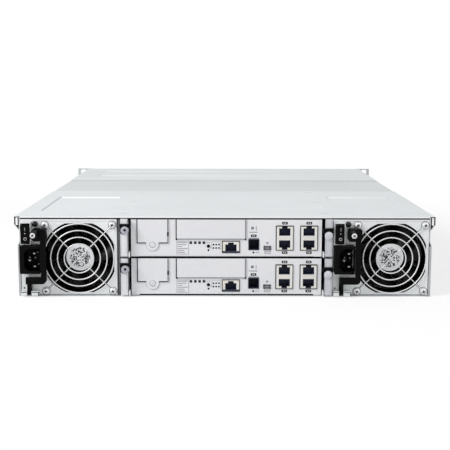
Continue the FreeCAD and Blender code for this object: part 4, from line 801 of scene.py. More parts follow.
# %% Screws and painted shadows of the fan guards
MARK = 0.05                     # a drawn line stands this far off its sheet
SCREW_SEAT = -1.9
SCREW_TURNS = (12, 40, 75, 28)
EYELET_SHADOW = [(3.9, -MARK), (4.5, -MARK), (4.5, 0.2), (3.9, 0.2), (3.9, -MARK)]


def draw_guard_screws(side):
    """Four heads over the eyelets, and the shade in their recesses."""
    centre, body = FAN_CENTRE[side], f"psu_{side}"
    screws, crosses = bmesh.new(), bmesh.new()
    for (across, up), turn in zip(CORNERS, SCREW_TURNS):
        seat = screw_hole(centre, across, up, SCREW_SEAT)
        add_screw(screws, seat, 3.4, 1.7, turn)
        add_cross(crosses, seat, 3.4, 1.7, turn)
    finish_piece(f"{body}_guard_crosses", crosses, SEAM_AND_SHADE_DARK, body)
    heads = finish_piece(f"{body}_guard_screws", screws, SCREW_STEEL, body)
    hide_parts(f"{body}_fan_screws")


def draw_guard_shadows(side):
    """Painted shadows: rings round the eyelets and lines under the crossed wires."""
    centre, body = FAN_CENTRE[side], f"psu_{side}"
    rings = bmesh.new()
    for across, up in CORNERS:
        add_turned(rings, screw_hole(centre, across, up, 0), EYELET_SHADOW, 32)
    finish_piece(f"{body}_eyelet_shadows", rings, SEAM_AND_SHADE_GREY, body)
    lines = bmesh.new()
    for turn in (45, 135, 225, 315):
        bar = add_box(lines, (38.6, -MARK, -0.8), (46.2, 0.2, 0.8))
        bmesh.ops.rotate(lines, cent=(0, 0, 0), matrix=turn_about("Y", turn), verts=bar)
    bmesh.ops.translate(lines, vec=centre, verts=lines.verts)
    finish_piece(f"{body}_wire_shadows", lines, SEAM_AND_SHADE_DARK, body)


for side in SUPPLIES:
    guard = draw_guard(side)
    draw_guard_screws(side)
    draw_guard_shadows(side)
    print(side, "guard faces:", len(guard.data.polygons))

# %% [markdown]
# The rotor is one moulding: a hub cup with a rounded rim, and seven swept and twisted blades.
# A blade starts as a flat grid whose rows run from root to tip; every row is turned about the
# blade's own line by its pitch and shifted along the sweep, then the sheet gets its thickness.

# %% Fan rotors
BLADE_COUNT = 7
HUB = 15.2
TIP = 35.4
ROOT_SUNK = 0.8                 # the blade's root lies this deep in the hub
MIDDLE_DEPTH = 14.5
PITCH_ROOT, PITCH_LOSS = 46, 18
CHORD_ROOT, CHORD_GAIN = 15, 5
SWEEP, CAMBER, BLADE_SHEET = 16, 1.6, 1.2


def draw_blades(mesh, centre):
    """One blade, bent from a grid and spun about the hub."""
    blade = bmesh.new()
    bmesh.ops.create_grid(blade, x_segments=8, y_segments=8, size=0.5)
    for vert in blade.verts:
        along, chord = vert.co.x + 0.5, vert.co.y
        radius = HUB - ROOT_SUNK + (TIP - HUB + ROOT_SUNK) * along
        pitch = math.radians(PITCH_ROOT - PITCH_LOSS * along)
        length = CHORD_ROOT + CHORD_GAIN * along
        camber = CAMBER * (1 - (2 * chord) ** 2)
        around = length * chord * math.cos(pitch) / radius + math.radians(SWEEP) * along ** 1.5
        depth = MIDDLE_DEPTH + length * chord * math.sin(pitch) - camber
        depth = min(max(depth, 6.8), 22.2)      # stays between the hub's two ends
        vert.co = (radius * math.cos(around), depth, radius * math.sin(around))
    bmesh.ops.recalc_face_normals(blade, faces=blade.faces)
    bmesh.ops.solidify(blade, geom=blade.faces, thickness=BLADE_SHEET)
    bmesh.ops.spin(blade, geom=blade.verts[:] + blade.edges[:] + blade.faces[:], cent=(0, 0, 0),
                   axis=(0, 1, 0), angle=math.tau * (BLADE_COUNT - 1) / BLADE_COUNT,
                   steps=BLADE_COUNT - 1, use_duplicate=True)
    bmesh.ops.translate(blade, vec=centre, verts=blade.verts)
    add_drawing(mesh, blade)


def draw_rotor(side):
    """Hub cup and blades, with a foil disc on the hub."""
    centre = FAN_CENTRE[side]
    mesh = bmesh.new()
    add_turned(mesh, centre, [
        (0, 6.3), (13.6, 6.3), (14.6, 6.6), (15.1, 7.4), (HUB, 8.6), (HUB, 22.8), (14.2, 22.8),
        (14.2, 9.0), (0, 9.0)], 64)
    draw_blades(mesh, centre)
    rotor = finish_piece(f"psu_{side}_rotor_blades", mesh, ROTOR_PLASTIC, f"psu_{side}_rotor")
    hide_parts(f"psu_{side}_fan_rotor")
    disc = bmesh.new()
    add_turned(disc, centre, [(0, 6.0), (14.3, 6.0), (14.7, 6.12), (14.8, 6.5)], 64)
    finish_piece(f"psu_{side}_hub_disc", disc, HUB_FOIL[side], f"psu_{side}_rotor")
    return rotor


for side in SUPPLIES:
    rotor = draw_rotor(side)
    print(side, "rotor faces:", len(rotor.data.polygons))

# %% [markdown]
# The switch is a black rocker. Its on and off signs are a bar and a ring in white ink: a flat
# box and a ring of thin wire, sunk in the rocker so far that they hardly stand out. The rocker is
# tilted at rest, so the signs are turned by the same angle about its own pivot.

# %% Mains switches
ROCKER_TILT = 5                 # degrees at rest
ROCKER_LOW, ROCKER_HIGH = 58.2, 79.1
ROCKER_PIVOT = 6.5              # in front of the rear face


def draw_switch(side):
    """The rocker with rounded edges, its pilot dot, its ring and its bar."""
    low, high = node_box(f"psu_{side}_switch")
    body = f"psu_{side}_rocker"
    soften(f"psu_{side}_switch", f"psu_{side}_rocker_cap", BLACK_PLASTIC, 0.5, 3)
    pivot = Vector(((low.x + high.x) / 2, REAR - ROCKER_PIVOT, (ROCKER_LOW + ROCKER_HIGH) / 2))
    signs = bmesh.new()
    add_rod(signs, (0.5, -3.98, 1.1), (0.5, -3.6, 1.1), 0.5, 16)
    add_torus(signs, (0.5, -3.5, -4.9), 1.4, 0.26, 6, 24)
    bar = bmesh.new()
    add_box(bar, (0.15, -3.75, 3.7), (0.85, -3.2, 7.6))
    for drawing, name, ink in ((signs, "rocker_signs", SIGN_INK), (bar, "rocker_bar", LABEL_ROW)):
        bmesh.ops.rotate(drawing, cent=(0, 0, 0), matrix=turn_about("X", ROCKER_TILT),
                         verts=drawing.verts)
        bmesh.ops.translate(drawing, vec=pivot, verts=drawing.verts)
        finish_piece(f"psu_{side}_{name}", drawing, ink, body)
    print(side, "rocker front, mm:", round(low.y - REAR, 2))


# %% [markdown]
# Round the lever a supply has small trims: an indicator lens, two plates painted near white under
# the lever's boss and under the inlet, as painted light on the panel there, the folded edges of
# the bracket that carries its pin, a sill, and a crease across the panel drawn as a line of
# painted shade. They are drawn from places measured from the fan's centre, since both supplies
# have them at the same distance from it.

# %% Trims of the panel
# Plates in near white: painted light on the panel under the boss and under the inlet.
LIT_PLATES = (               # left, right, bottom, top, proud, radius of the corners
    (-52.6, -39.4, 57.0, 62.2, 0.9, 0.8), (-50.0, -33.4, 22.7, 24.5, 0.5, 0.2))
BRACKET_EDGES = (               # left, right, bottom, top
    (-61.3, -55.6, 5.2, 6.0), (-50.2, -42.6, 5.2, 6.0), (-43.4, -42.6, 1.4, 6.0))
PANEL_RIGHT = 38                # end of the sill and the crease, from the fan's centre


def draw_panel_trims(side):
    """The indicator lens, and the plates of painted light under the boss and under the inlet."""
    centre, body = FAN_CENTRE[side], f"psu_{side}"
    lens = bmesh.new()
    add_turned(lens, (centre.x - 46.1, REAR, 78.1), [
        (0, -4.2), (1.6, -4.0), (2.6, -3.2), (3.1, -1.8), (3.1, 0.2), (0, 0.2)], 32)
    finish_piece(f"{body}_lens", lens, LENS_BLACK, body)
    plate = bmesh.new()
    for left, right, bottom, top, proud, radius in LIT_PLATES:
        add_round_box(plate, (centre.x + left, REAR - proud, bottom),
                      (centre.x + right, REAR - 0.02, top), radius)
    finish_piece(f"{body}_lit_plate", plate, PAINTED_LIGHT, body)


def draw_panel_lines(side):
    """Edges of the lever's bracket, open at its notch, then the sill and the crease."""
    centre, body = FAN_CENTRE[side], f"psu_{side}"
    lines = bmesh.new()
    for left, right, bottom, top in BRACKET_EDGES:
        add_box(lines, (centre.x + left, REAR - 7.26, bottom),
                (centre.x + right, REAR - 7.1, top))
    across, up = centre.x - 59.2, 8.9
    add_rod(lines, (across, REAR - 0.06, up), (across, REAR + 0.2, up), 0.9, 16)
    finish_piece(f"{body}_bracket_edges", lines, SEAM_AND_SHADE_DARK, body)
    for name, left, bottom, top, finish in (("sill", -60.5, 1.55, 2.35, SEAM_AND_SHADE_GREY),
                                            ("crease", -60, 80.9, 81.35, PANEL_LINE_SHADE)):
        line = bmesh.new()
        add_box(line, (centre.x + left, REAR - MARK, bottom),
                (centre.x + PANEL_RIGHT, REAR + 0.2, top))
        finish_piece(f"{body}_{name}", line, finish, body)


print("bright plates:", len(LIT_PLATES), "bracket edges:", len(BRACKET_EDGES))

# %% [markdown]
# The inlet is a recess with three flat pins. Only their rounded ends catch light, so each pin is
# a metal blade darkened as painted shade, with a painted highlight on its tip, and a few dimmer
# painted highlights lie beside them.

# %% Inlet pins and the lever's captive screw
INLET_MIDDLE = (-48.3, 41.25)                       # from the fan's centre, and height
INLET_PINS = [(-2.6, 0), (2.6, -7), (2.6, 7)]       # from the middle of the recess
TIP_HIGHLIGHTS = [(-2.6, -0.9), (2.2, 6.6), (2.6, -7.2)]
SIDE_HIGHLIGHTS = [(-2.2, 2.6), (3.4, 2.2), (6.2, 8.2), (6.6, -4.6)]
PIN_END, TIP_END = 9.05, 9.12                       # in front of the rear face


def inlet_spot(side, across, up, end):
    """A place in the inlet, from the middle of its recess."""
    return Vector((FAN_CENTRE[side].x + INLET_MIDDLE[0] + across, REAR - end,
                   INLET_MIDDLE[1] + up))


def draw_inlet_pins(side):
    """Three pins in the recess, and the painted highlights on their tips and beside them."""
    body = f"psu_{side}"
    pins = bmesh.new()
    for across, up in INLET_PINS:
        pin = inlet_spot(side, across, up, PIN_END)
        add_round_box(pins, pin - Vector((1.7, 0, 0.9)), pin + Vector((1.7, 6.0, 0.9)), 0.3)
    finish_piece(f"{body}_inlet_pins", pins, PIN_SHADE_METAL, body)
    for name, places, half, ink in (("tip_highlights", TIP_HIGHLIGHTS, 0.6, TIP_HIGHLIGHT),
                                    ("side_highlights", SIDE_HIGHLIGHTS, 0.5, SIDE_HIGHLIGHT)):
        tips = bmesh.new()
        for across, up in places:
            spot = inlet_spot(side, across, up, TIP_END)
            add_round_box(tips, spot - Vector((half, 0, half * 0.75)),
                          spot + Vector((half, 2.0, half * 0.75)), 0.25)
        finish_piece(f"{body}_{name}", tips, ink, body)


def draw_lever_screw(side):
    """The captive screw in the boss of the release lever."""
    handle = f"psu_{side}_handle"
    seat = (FAN_CENTRE[side].x - 43.4, node_box(f"psu_{side}_lever")[0].y + 1.2, 70.2)
    screw, cross = bmesh.new(), bmesh.new()
    add_screw(screw, seat, 3.1, 1.1, 40)
    add_cross(cross, seat, 3.1, 1.1, 40)
    finish_piece(f"psu_{side}_lever_cross", cross, SEAM_AND_SHADE_DARK, handle)
    finish_piece(f"psu_{side}_lever_screw", screw, SCREW_STEEL, handle)


for side in SUPPLIES:
    draw_switch(side)
    draw_panel_trims(side)
    draw_panel_lines(side)
    draw_inlet_pins(side)
    draw_lever_screw(side)
    soften(f"psu_{side}_lever", f"psu_{side}_lever_bar", BLACK_PLASTIC, 0.7, 3)
    soften(f"psu_{side}_inlet", f"psu_{side}_inlet_shell", BLACK_PLASTIC, 0.4, 2)
    soften(f"psu_{side}_case", f"psu_{side}_panel", NICKEL, 0.25, 2)
print("pieces so far:", len(PIECES))

# %% [markdown]
# ## Storage controllers
# The two controllers are alike, one above the other. All their small parts are placed on the
# upper one and lifted by the same pitch for the lower one, so a change is made in one place.
# Most marks on the face are thin plates, sunk in it so far that they hardly stand out.

# %% Lifts and thin plates
UPPER_LOW = node_box("controller_upper_case")[0].z
LIFT = {level: node_box(f"controller_{level}_case")[0].z - UPPER_LOW for level in CONTROLLERS}
DATUM = FACE_CENTRE["upper"].x - 0.8    # distances across are counted from here
print("lifts, mm:", {level: round(lift, 2) for level, lift in LIFT.items()})


def face_point(level, x, proud, z):
    """A point on a controller's face, proud of it towards the rear."""
    return Vector((DATUM + x, REAR - proud, z + LIFT[level]))


def draw_plates(level, name, plates, proud, sunk, finish, radius=0.0):
    """Several thin plates (left, right, low, high) as one piece of a controller."""
    mesh = bmesh.new()
    for left, right, low, high in plates:
        corner = face_point(level, left, proud, low)
        opposite = face_point(level, right, -sunk, high)
        if radius:
            add_round_box(mesh, corner, opposite, radius)
        else:
            add_box(mesh, corner, opposite)
    return finish_piece(f"controller_{level}_{name}", mesh, finish, f"controller_{level}")


# %% [markdown]
# Seams are the dark gaps round the two removable covers. They could be cut as real gaps, but a
# narrow strip that stands a few hundredths of a millimetre off the sheet looks the same and never
# shares a plane with it. A deep gap is black and a shallow one grey.

# %% Seams, notches and windows
BATTERY_LEFT, BATTERY_RIGHT, BATTERY_LOW = -93.6, -61.9, 58.6
BLANK_LEFT, BLANK_RIGHT, BLANK_LOW = -52.0, 20.8, 62.8
FACE_TOP = 83.0
TAB = (-77.9, 56.2, 6.8)        # centre across, centre up, radius
SEAM = 1.0
LID = 1.0                       # the covers stand this far off the face
DARK_SEAMS = [
    (BATTERY_LEFT - SEAM, BATTERY_LEFT, BATTERY_LOW - SEAM, FACE_TOP),
    (BATTERY_LEFT, TAB[0] - TAB[2], BATTERY_LOW - SEAM, BATTERY_LOW),
    (TAB[0] + TAB[2], BATTERY_RIGHT, BATTERY_LOW - SEAM, BATTERY_LOW),
    (BLANK_LEFT - SEAM, BLANK_LEFT, BLANK_LOW, FACE_TOP),
]
SOFT_SEAMS = [
    (BATTERY_RIGHT, BATTERY_RIGHT + SEAM, BATTERY_LOW - SEAM, FACE_TOP),
    (BLANK_LEFT, BLANK_RIGHT, BLANK_LOW - 0.9, BLANK_LOW),
    (BLANK_RIGHT, BLANK_RIGHT + 0.9, BLANK_LOW, FACE_TOP),
]
NOTCHES = [(-62.3, -60.6, 65.4, 69.7)]
WINDOWS = [(x - 1.4, x + 1.4, 56.8, 59.7) for x in (-37.1, -32.4, -27.8, -23.2)]
for level in CONTROLLERS:
    draw_plates(level, "dark_seams", DARK_SEAMS, LID + 0.06, 0.3, SEAM_AND_SHADE_DARK)
    draw_plates(level, "soft_seams", SOFT_SEAMS, LID + 0.05, 0.3, SEAM_AND_SHADE_GREY)
    draw_plates(level, "notches", NOTCHES, LID + 0.12, 0.3, SHADE_BLACK, 0.4)
    draw_plates(level, "windows", WINDOWS, 0.12, 0.3, WINDOW_NAVY, 0.3)
print("seams on one face:", len(DARK_SEAMS) + len(SOFT_SEAMS))

# %% [markdown]
# The face also carries small round things: a pin hole, the dots at the corners of the blank
# cover, six indicator lights and one light under the expansion port. A light is a shallow lens
# turned about its own axis.

# %% Lights and dots of the face
def draw_dots(level, name, centres, radius, proud, finish):
    """Small round domes as one piece of a controller."""
    mesh = bmesh.new()
    for x, z in centres:
        middle = face_point(level, x, 0, z)
        add_turned(mesh, middle, [(0, -proud), (radius * 0.6, -proud * 0.85), (radius, -0.02),
                                  (radius, 0.2)], 20)
    return finish_piece(f"controller_{level}_{name}", mesh, finish, f"controller_{level}")


def draw_tab(level):
    """The screw in the battery cover's tab, a groove round it and the tab's round outline."""
    seat = face_point(level, TAB[0], LID, TAB[1] - 0.2)
    knob, ring = bmesh.new(), bmesh.new()
    add_screw(knob, seat, 2.7, 0.7, 30)
    for middle, inner, outer, proud, steps in (
            (seat, 2.9, 3.3, -0.05, 32), (seat + Vector((0, 1, 0.2)), TAB[2], 7.25, -0.06, 40)):
        add_turned(ring, middle, [(inner, proud), (outer, proud), (outer, 0.2), (inner, 0.2),
                                  (inner, proud)], steps)
    finish_piece(f"controller_{level}_tab_outline", ring, SEAM_AND_SHADE_GREY, f"controller_{level}")
    finish_piece(f"controller_{level}_tab_screw", knob, SCREW_STEEL, f"controller_{level}")


LIGHTS = [(x, z) for x in (-13.0, -10.1, -7.2) for z in (56.2, 52.5)]
CORNER_DOTS = [(-52.1, 62.0), (21.0, 62.0)]
for level in CONTROLLERS:
    draw_dots(level, "pin_hole", [(-18.3, 50.2)], 1.1, 0.06, SHADE_BLACK)
    draw_dots(level, "corner_dots", CORNER_DOTS, 1.2, 1.2, SHADE_BLACK)
    draw_dots(level, "lights", LIGHTS, 1.0, 0.25, LIGHT_LENS)
    draw_dots(level, "port_light", [(29.6, 47.7)], 1.1, 0.25, PORT_LENS)
    draw_tab(level)
print("lights on one face:", len(LIGHTS) + 1)

# %% [markdown]
# Labels on such a face are small dark plates with a light field. They are left bare here: a
# rounded plate in dark ink with a smaller light plate on it, and one larger pale plate where
# the real controller has its list of ports. Plates that lie on each other differ in height, so
# that the upper one always wins.

# %% Bare labels
JACKS = (62.85, 88.7)           # middles of the two network jacks, across
PORT_LABELS = [(x - 3.0, x + 3.0, z - 1.4, z + 1.4) for x in JACKS for z in (79.4, 47.7)]
DARK_LABELS = PORT_LABELS + [(26.8, 32.8, 64.3, 67.1)]
SERVICE_MARKS = [
    (43.3, 45.6, 57.2, 58.9), (-14.9, -5.4, 59.1, 59.35), (-14.9, -14.65, 50.6, 59.1),
    (-5.65, -5.4, 50.6, 59.1), (-22.8, -16.2, 58.2, 58.7), (25.2, 34.0, 69.2, 70.0),
    (27.0, 30.0, 72.6, 75.4), (32.2, 32.8, 71.4, 76.2), (31.6, 36.0, 47.4, 48.0),
    (24.6, 35.4, 62.5, 63.4)]
ROW_LEFT, ROW_LOW, ROW_HIGH, ROW_PITCH = -51.4, 57.9, 58.7, 2.15
ROWS = [(ROW_LEFT, ROW_LEFT + length, ROW_LOW - ROW_PITCH * row, ROW_HIGH - ROW_PITCH * row)
        for row, length in enumerate((10.6, 9.4, 5.0, 11.0, 7.4, 8.0))]


def twin_fields(left, right, low, high):
    """Two light fields side by side on one dark label."""
    middles = [(left + right) / 2 + step for step in (-0.95, 0.95)]
    return [(middle - 0.55, middle + 0.55, low + 0.8, high - 0.8) for middle in middles]


FIELDS = [field for label in DARK_LABELS for field in twin_fields(*label)]
LABELS = [                      # name, plates, proud, sunk, finish, radius of the corners
    ("label_backs", DARK_LABELS, 0.07, 0.2, LABEL_INK, 0.5),
    ("label_fields", FIELDS, 0.1, 0.0, LABEL_PALE, 0.2),
    ("marks", SERVICE_MARKS, 0.05, 0.2, LABEL_GREY, 0.0),
    ("bare_plate_rim", [(-52.4, -39.4, 45.7, 59.8)], 0.07, 0.2, SEAM_AND_SHADE_GREY, 0.5),
    ("bare_plate", [(-52.0, -39.8, 46.1, 59.4)], 0.12, 0.2, WHITE_LABEL_AND_HIGHLIGHT, 0.4),
    ("plain_rows", ROWS, 0.16, 0.0, LABEL_ROW, 0.0),
    ("service_plate", [(41.3, 48.0, 46.5, 49.1)], 0.06, 0.2, LABEL_ROW, 0.4),
    ("service_field", [(41.9, 47.4, 47.1, 48.5)], 0.09, 0.0, LABEL_PALE, 0.3),
]
for level in CONTROLLERS:
    for name, plates, proud, sunk, finish, radius in LABELS:
        draw_plates(level, name, plates, proud, sunk, finish, radius)
print("dark labels on one face:", len(DARK_LABELS), "fields:", len(FIELDS))

# %% [markdown]
# A network jack has a tinned shell, a moulded insert and eight thin gold contacts in each
# mouth, and two small light pipes at its outer corners. The shell and the mouths are the CAD
# piece; its finish turns from bright metal to dark moulding inside the mouths.

# %% Contacts of the jacks
MOUTHS = [(x, z) for x in JACKS for z in (53.2, 73.4)] + [(5.65, 55.8)]
CONTACTS = 8
CONTACT_PITCH = 1.02
CONTACT_WIDTH = 0.36
CONTACT_SPAN = (-2.0, -11.5)    # from the face into the mouth


def draw_contacts(level):
    """A row of thin contacts along the floor of every mouth."""
    mesh = bmesh.new()
    for x, z in MOUTHS:
        for index in range(CONTACTS):
            left = x + (index - (CONTACTS - 1) / 2) * CONTACT_PITCH - CONTACT_WIDTH / 2
            add_box(mesh, face_point(level, left, CONTACT_SPAN[0], z),
                    face_point(level, left + CONTACT_WIDTH, CONTACT_SPAN[1], z + 0.3))
    return finish_piece(f"controller_{level}_contacts", mesh, CONTACT_DIM, f"controller_{level}")


print("contacts on one face:", CONTACTS * len(MOUTHS))

# %% [markdown]
# The thin marks round the jacks are lines, light pipes and bands. Bright metal has no colour of
# its own, so without a dark line round its edge a jack would melt into the pale face. A port gets
# four strips for its rim, and a small grey tongue stands in the mouth of the narrow one.

# %% Outlines, light pipes and rims of the ports
def frame_lines(left, right, low, high, width):
    """Four thin strips round a rectangle."""
    return [(left, left + width, low, high), (right - width, right, low, high),
            (left, right, low, low + width), (left, right, high - width, high)]


JACK_FRAMES = [(53.5, 72.2, 50.0, 76.5), (79.3, 98.0, 50.0, 76.5), (-3.9, 15.2, 47.2, 60.2)]
OUTLINES = [line for edges in JACK_FRAMES for line in frame_lines(*edges, 0.75)]
PIPES = [(x + side * 5.9 - 1.4, x + side * 5.9 + 1.4, low, low + 1.7)
         for x in JACKS for side in (-1, 1) for low in (50.9, 74.1)]
PIPES += [(-2.9, -0.9, 57.1, 59.4), (12.2, 14.3, 57.1, 59.4), (-3.0, -1.1, 49.6, 56.6)]
BANDS = [(x - 7.2, x + 7.2, 61.3, 65.6) for x in JACKS]
PORT_MARKS = [                  # name, plates, proud, sunk, finish, radius of the corners
    ("light_pipes", PIPES, 0.68, 0.0, PIPE_CREAM, 0.2),
    ("jack_bands", BANDS, 0.66, 0.0, BAND_CREAM, 0.0),
    ("jack_outlines", OUTLINES, 0.70, 0.0, JACK_LINE, 0.0),
    ("service_sill", [(-3.6, 14.9, 47.5, 49.4)], 0.69, 0.0, PORT_NAVY, 0.0),
    ("port_tongue", [(42.2, 46.7, 51.7, 53.3)], 0.2, 6.0, TONGUE_GREY, 0.0),
    ("port_rim", frame_lines(40.9, 48.2, 50.3, 54.8, 1.0), 0.72, 0.0, SHELL_GREY, 0.0),
]
for level in CONTROLLERS:
    draw_contacts(level)
    for name, plates, proud, sunk, finish, radius in PORT_MARKS:
        draw_plates(level, name, plates, proud, sunk, finish, radius)
print("pieces so far:", len(PIECES))

# %% [markdown]
# The ejector handles are folded from steel strip, with a black latch whose boss holds a
# captive screw. The handle's own edges are rounded by a Bevel modifier on a merged copy of the
# CAD node. The boss gets a bright washer round a dark hole on the left, and a white painted
# highlight on its screw on the right. The two sides catch the light differently, so each has its
# own finishes: the right handle and washer are painted darker, as shade.

# %% Ejectors and latches
HANDLE_COAT = {"left": HANDLE_STEEL, "right": HANDLE_SHADE}
DISC_COAT = {"left": LATCH_GREY, "right": HANDLE_SHADE}
DISC_SHIFT = {"left": 1.2, "right": -0.5}       # from the bar's middle
# On the left the spot is the screw's dark hole; on the right it is a painted highlight.
SPOT = {"left": (SHADE_BLACK, 1.35, 0.4), "right": (WHITE_LABEL_AND_HIGHLIGHT, 0.85, 2.2)}  # finish, radius, rise
FOLDS = (-2.7, 2.5)


def draw_latch_disc(level, side):
    """The washer on the latch's boss; on the left the dark hole of its screw, on the right a
    painted highlight.
    """
    body = f"controller_{level}_handle_{side}"
    low = node_box(f"controller_{level}_latch_{side}")[0]
    bar_low, bar_high = node_box(f"controller_{level}_ejector_{side}")
    across = (bar_low.x + bar_high.x) / 2 + DISC_SHIFT[side]
    centre = Vector((across, low.y, low.z + 4.4))
    disc = bmesh.new()
    add_turned(disc, centre, [(0, -0.3), (3.9, -0.3), (4.3, -0.1), (4.3, 0.1)], 32)
    finish_piece(f"controller_{level}_latch_disc_{side}", disc, DISC_COAT[side], body)
    finish, radius, rise = SPOT[side]
    spot = bmesh.new()
    add_turned(spot, centre + Vector((0, 0, rise)), [(0, -0.42), (radius, -0.42), (radius, 0.1)],
               24)
    finish_piece(f"controller_{level}_latch_spot_{side}", spot, finish, body)


def draw_fold_lines(level, side):
    """Two thin lines of painted shade along the bar, where the strip is folded."""
    bar_low, bar_high = node_box(f"controller_{level}_ejector_{side}")
    folds = bmesh.new()
    for across in FOLDS:
        line = Vector(((bar_low.x + bar_high.x) / 2 + across, bar_low.y, 0))
        add_box(folds, line + Vector((-0.2, -0.04, bar_low.z + 4)),
                line + Vector((0.2, 0.2, bar_high.z - 0.4)))
    finish_piece(f"controller_{level}_fold_lines_{side}", folds, FOLD_LINE_SHADE,
                 f"controller_{level}_handle_{side}")


for level in CONTROLLERS:
    for side in SUPPLIES:
        soften(f"controller_{level}_ejector_{side}", f"controller_{level}_ejector_bar_{side}",
               HANDLE_COAT[side], 0.45, 2)
        soften(f"controller_{level}_latch_{side}", f"controller_{level}_latch_cap_{side}",
               BLACK_PLASTIC, 0.35, 2)
        draw_latch_disc(level, side)
        draw_fold_lines(level, side)
    for cover, lid in (("battery_cover", "battery_lid"), ("slot_cover", "slot_lid")):
        soften(f"controller_{level}_{cover}", f"controller_{level}_{lid}", LID_WHITE,
               0.3, 2)
print("pieces so far:", len(PIECES))

# %% [markdown]
# ## Gaps, folds and covers
# Each module slides into its bay with a little room around it, and these gaps look almost black
# because shade falls in them. The shade is painted: thin near-black boxes just behind the rear
# face, under the cover's edge, between the two controllers, below the lower one, and beside both.

# %% Painted shade in the gaps
def draw_strips(name, strips, depth, body, finish=SHADE_BLACK):
    """Strips (left, right, low, high) that lie between two depths behind the rear face."""
    mesh = bmesh.new()
    for left, right, low, high in strips:
        add_box(mesh, (left, REAR + depth[0], low), (right, REAR + depth[1], high))
    return finish_piece(name, mesh, finish, body)


FACE_LOW, FACE_HIGH = 43.35, 41.25      # underside of the upper case, top of the lower face
SHADE = (-0.06, 0.3)                    # depths of the thin shades
LUG_SIDE, LUG_HALF, LUG_HEIGHT = 102.55, 1.1, 5.8
middle = FACE_CENTRE["upper"].x
draw_strips("gap_shade_top", [(-217.5, 217.5, 83.35, 84.75)], (-0.06, 0.6), "chassis")
draw_strips("gap_shade_between", [(middle - 101, middle + 101, FACE_HIGH, FACE_LOW)], (0.5, 1.9),
            "chassis")
draw_strips("gap_shade_below", [(middle - 93, middle + 93, 1.05, 2.6)], SHADE, "chassis")
for level in CONTROLLERS:
    lug_low = LIFT[level] + UPPER_LOW
    lugs = [(middle + side * LUG_SIDE - LUG_HALF, middle + side * LUG_SIDE + LUG_HALF, lug_low,
             lug_low + LUG_HEIGHT) for side in (-1, 1)]
    draw_strips(f"controller_{level}_lug_shade", lugs, SHADE, f"controller_{level}")
print("gap between the controllers, mm:", round(FACE_LOW - FACE_HIGH, 2))

# %% [markdown]
# The cover's rear edge is folded down, and the side walls end in folded flanges. The fold and
# the ends of the rails carry a painted highlight in near white, the end of a wall is drawn darker,
# and thin dark lines run round each corner: the joint where two folds meet, and painted shade
# along the outer edge. These marks are a fraction of a millimetre deep, so they are thin boxes
# too.

# %% Folds, wall ends and corner joints
draw_strips("fold_edge", [(-217.8, 217.8, 84.85, 86.06)], (-0.04, 0.5), "chassis", FOLD_HIGHLIGHT)
RAIL_ENDS, WALL_ENDS, CORNER_LINES = [], [], []
for side in (-1, 1):
    for places, near, far, low, high in (
            (RAIL_ENDS, 219.8, 222.0, 77.0, 85.0), (WALL_ENDS, 217.9, 220.3, 0.6, 54.2),
            (CORNER_LINES, 222.0, 223.4, 77.2, 86.0), (CORNER_LINES, 217.6, 223.4, 85.1, 86.05),
            (CORNER_LINES, 218.8, 219.8, 75.0, 85.0)):
        left, right = sorted((side * near, side * far))
        places.append((left, right, low, high))
for name, places, finish in (("rail_ends", RAIL_ENDS, FOLD_HIGHLIGHT),
                             ("wall_ends", WALL_ENDS, WALL_EDGE),
                             ("corner_lines", CORNER_LINES, SHADE_BLACK)):
    draw_strips(name, places, (-0.05, 1.0), "chassis", finish)
print("pieces so far:", len(PIECES))

# %% [markdown]
# The covers are single sheets with pressed panels, beads, small dimples from the spot welds
# below them, and thin slots where the cover hooks into the bay frame. A Bevel modifier rounds
# the pressed edges, because on a sheet metal part the rounded edge is what catches the light.

# %% Covers with rounded pressings
for node, name, finish in (("rear_cover", "rear_lid", COVER_COAT),
                           ("middle_plate", "middle_lid", PLATE_COAT),
                           ("front_cover", "front_lid", COVER_COAT)):
    lid = soften(node, name, finish, 0.35, 2)
    print(name, "faces:", len(lid.data.polygons))

# %% [markdown]
# A spot weld leaves a shallow round mark, and so does the head of a flush rivet. Each mark is a
# very flat cone cut off at its top, sunk in the sheet until only its top shows, and pure white:
# a painted highlight for the light each mark catches. It could be pressed into the cover itself,
# but a separate piece keeps the cover's faces flat and few.

# %% Weld marks and rivets
DOT_RADIUS = 3.2
DOT_HEIGHT = 0.24
PLATE_DROP = 0.8                # the middle plate lies lower than the covers
SLOT_SIDE = 109.0               # welds and slots stand in two rows, left and right
WELDS = [(side * SLOT_SIDE, y) for side in (-1, 1) for y in (79.0, 177.0, 240.0)]
WELDS += [(-86.6, 408), (-69, 413), (62.5, 408), (78.3, 404), (-141.6, 493.5), (-11.4, 489),
          (-71.7, 545), (61.8, 550), (78, 550)]
RIVETS = [(-162.0, 350.0), (10.0, 350.0), (181.0, 350.0)]


def draw_top_dots(name, places, top, finish):
    """Shallow round marks on a sheet: a flat middle and a thin sloping rim."""
    mesh = bmesh.new()
    for x, y in places:
        dot = bmesh.ops.create_cone(mesh, cap_ends=True, segments=20, radius1=DOT_RADIUS,
                                    radius2=DOT_RADIUS * 0.55, depth=DOT_HEIGHT)["verts"]
        bmesh.ops.translate(mesh, vec=(x, REAR + y, top - 0.1), verts=dot)
    return finish_piece(name, mesh, finish, "chassis")


# The marks are white: painted highlights on real welds and rivets.
draw_top_dots("cover_welds", WELDS, TOP, PAINTED_LIGHT)
draw_top_dots("plate_rivets", RIVETS, TOP - PLATE_DROP, PAINTED_LIGHT)
print("weld marks and rivets:", len(WELDS) + len(RIVETS))

# %% [markdown]
# The pressed panels and the two long beads slope down to the sheet around them. Each slope is a
# ramp with a painted highlight, white on the left and fading to the cover's tone on the right,
# because it faces the light at another angle than the flat sheet. The slots are boxes a little
# darker than the cover, as painted shade inside each slot, and their tops stand just above it.

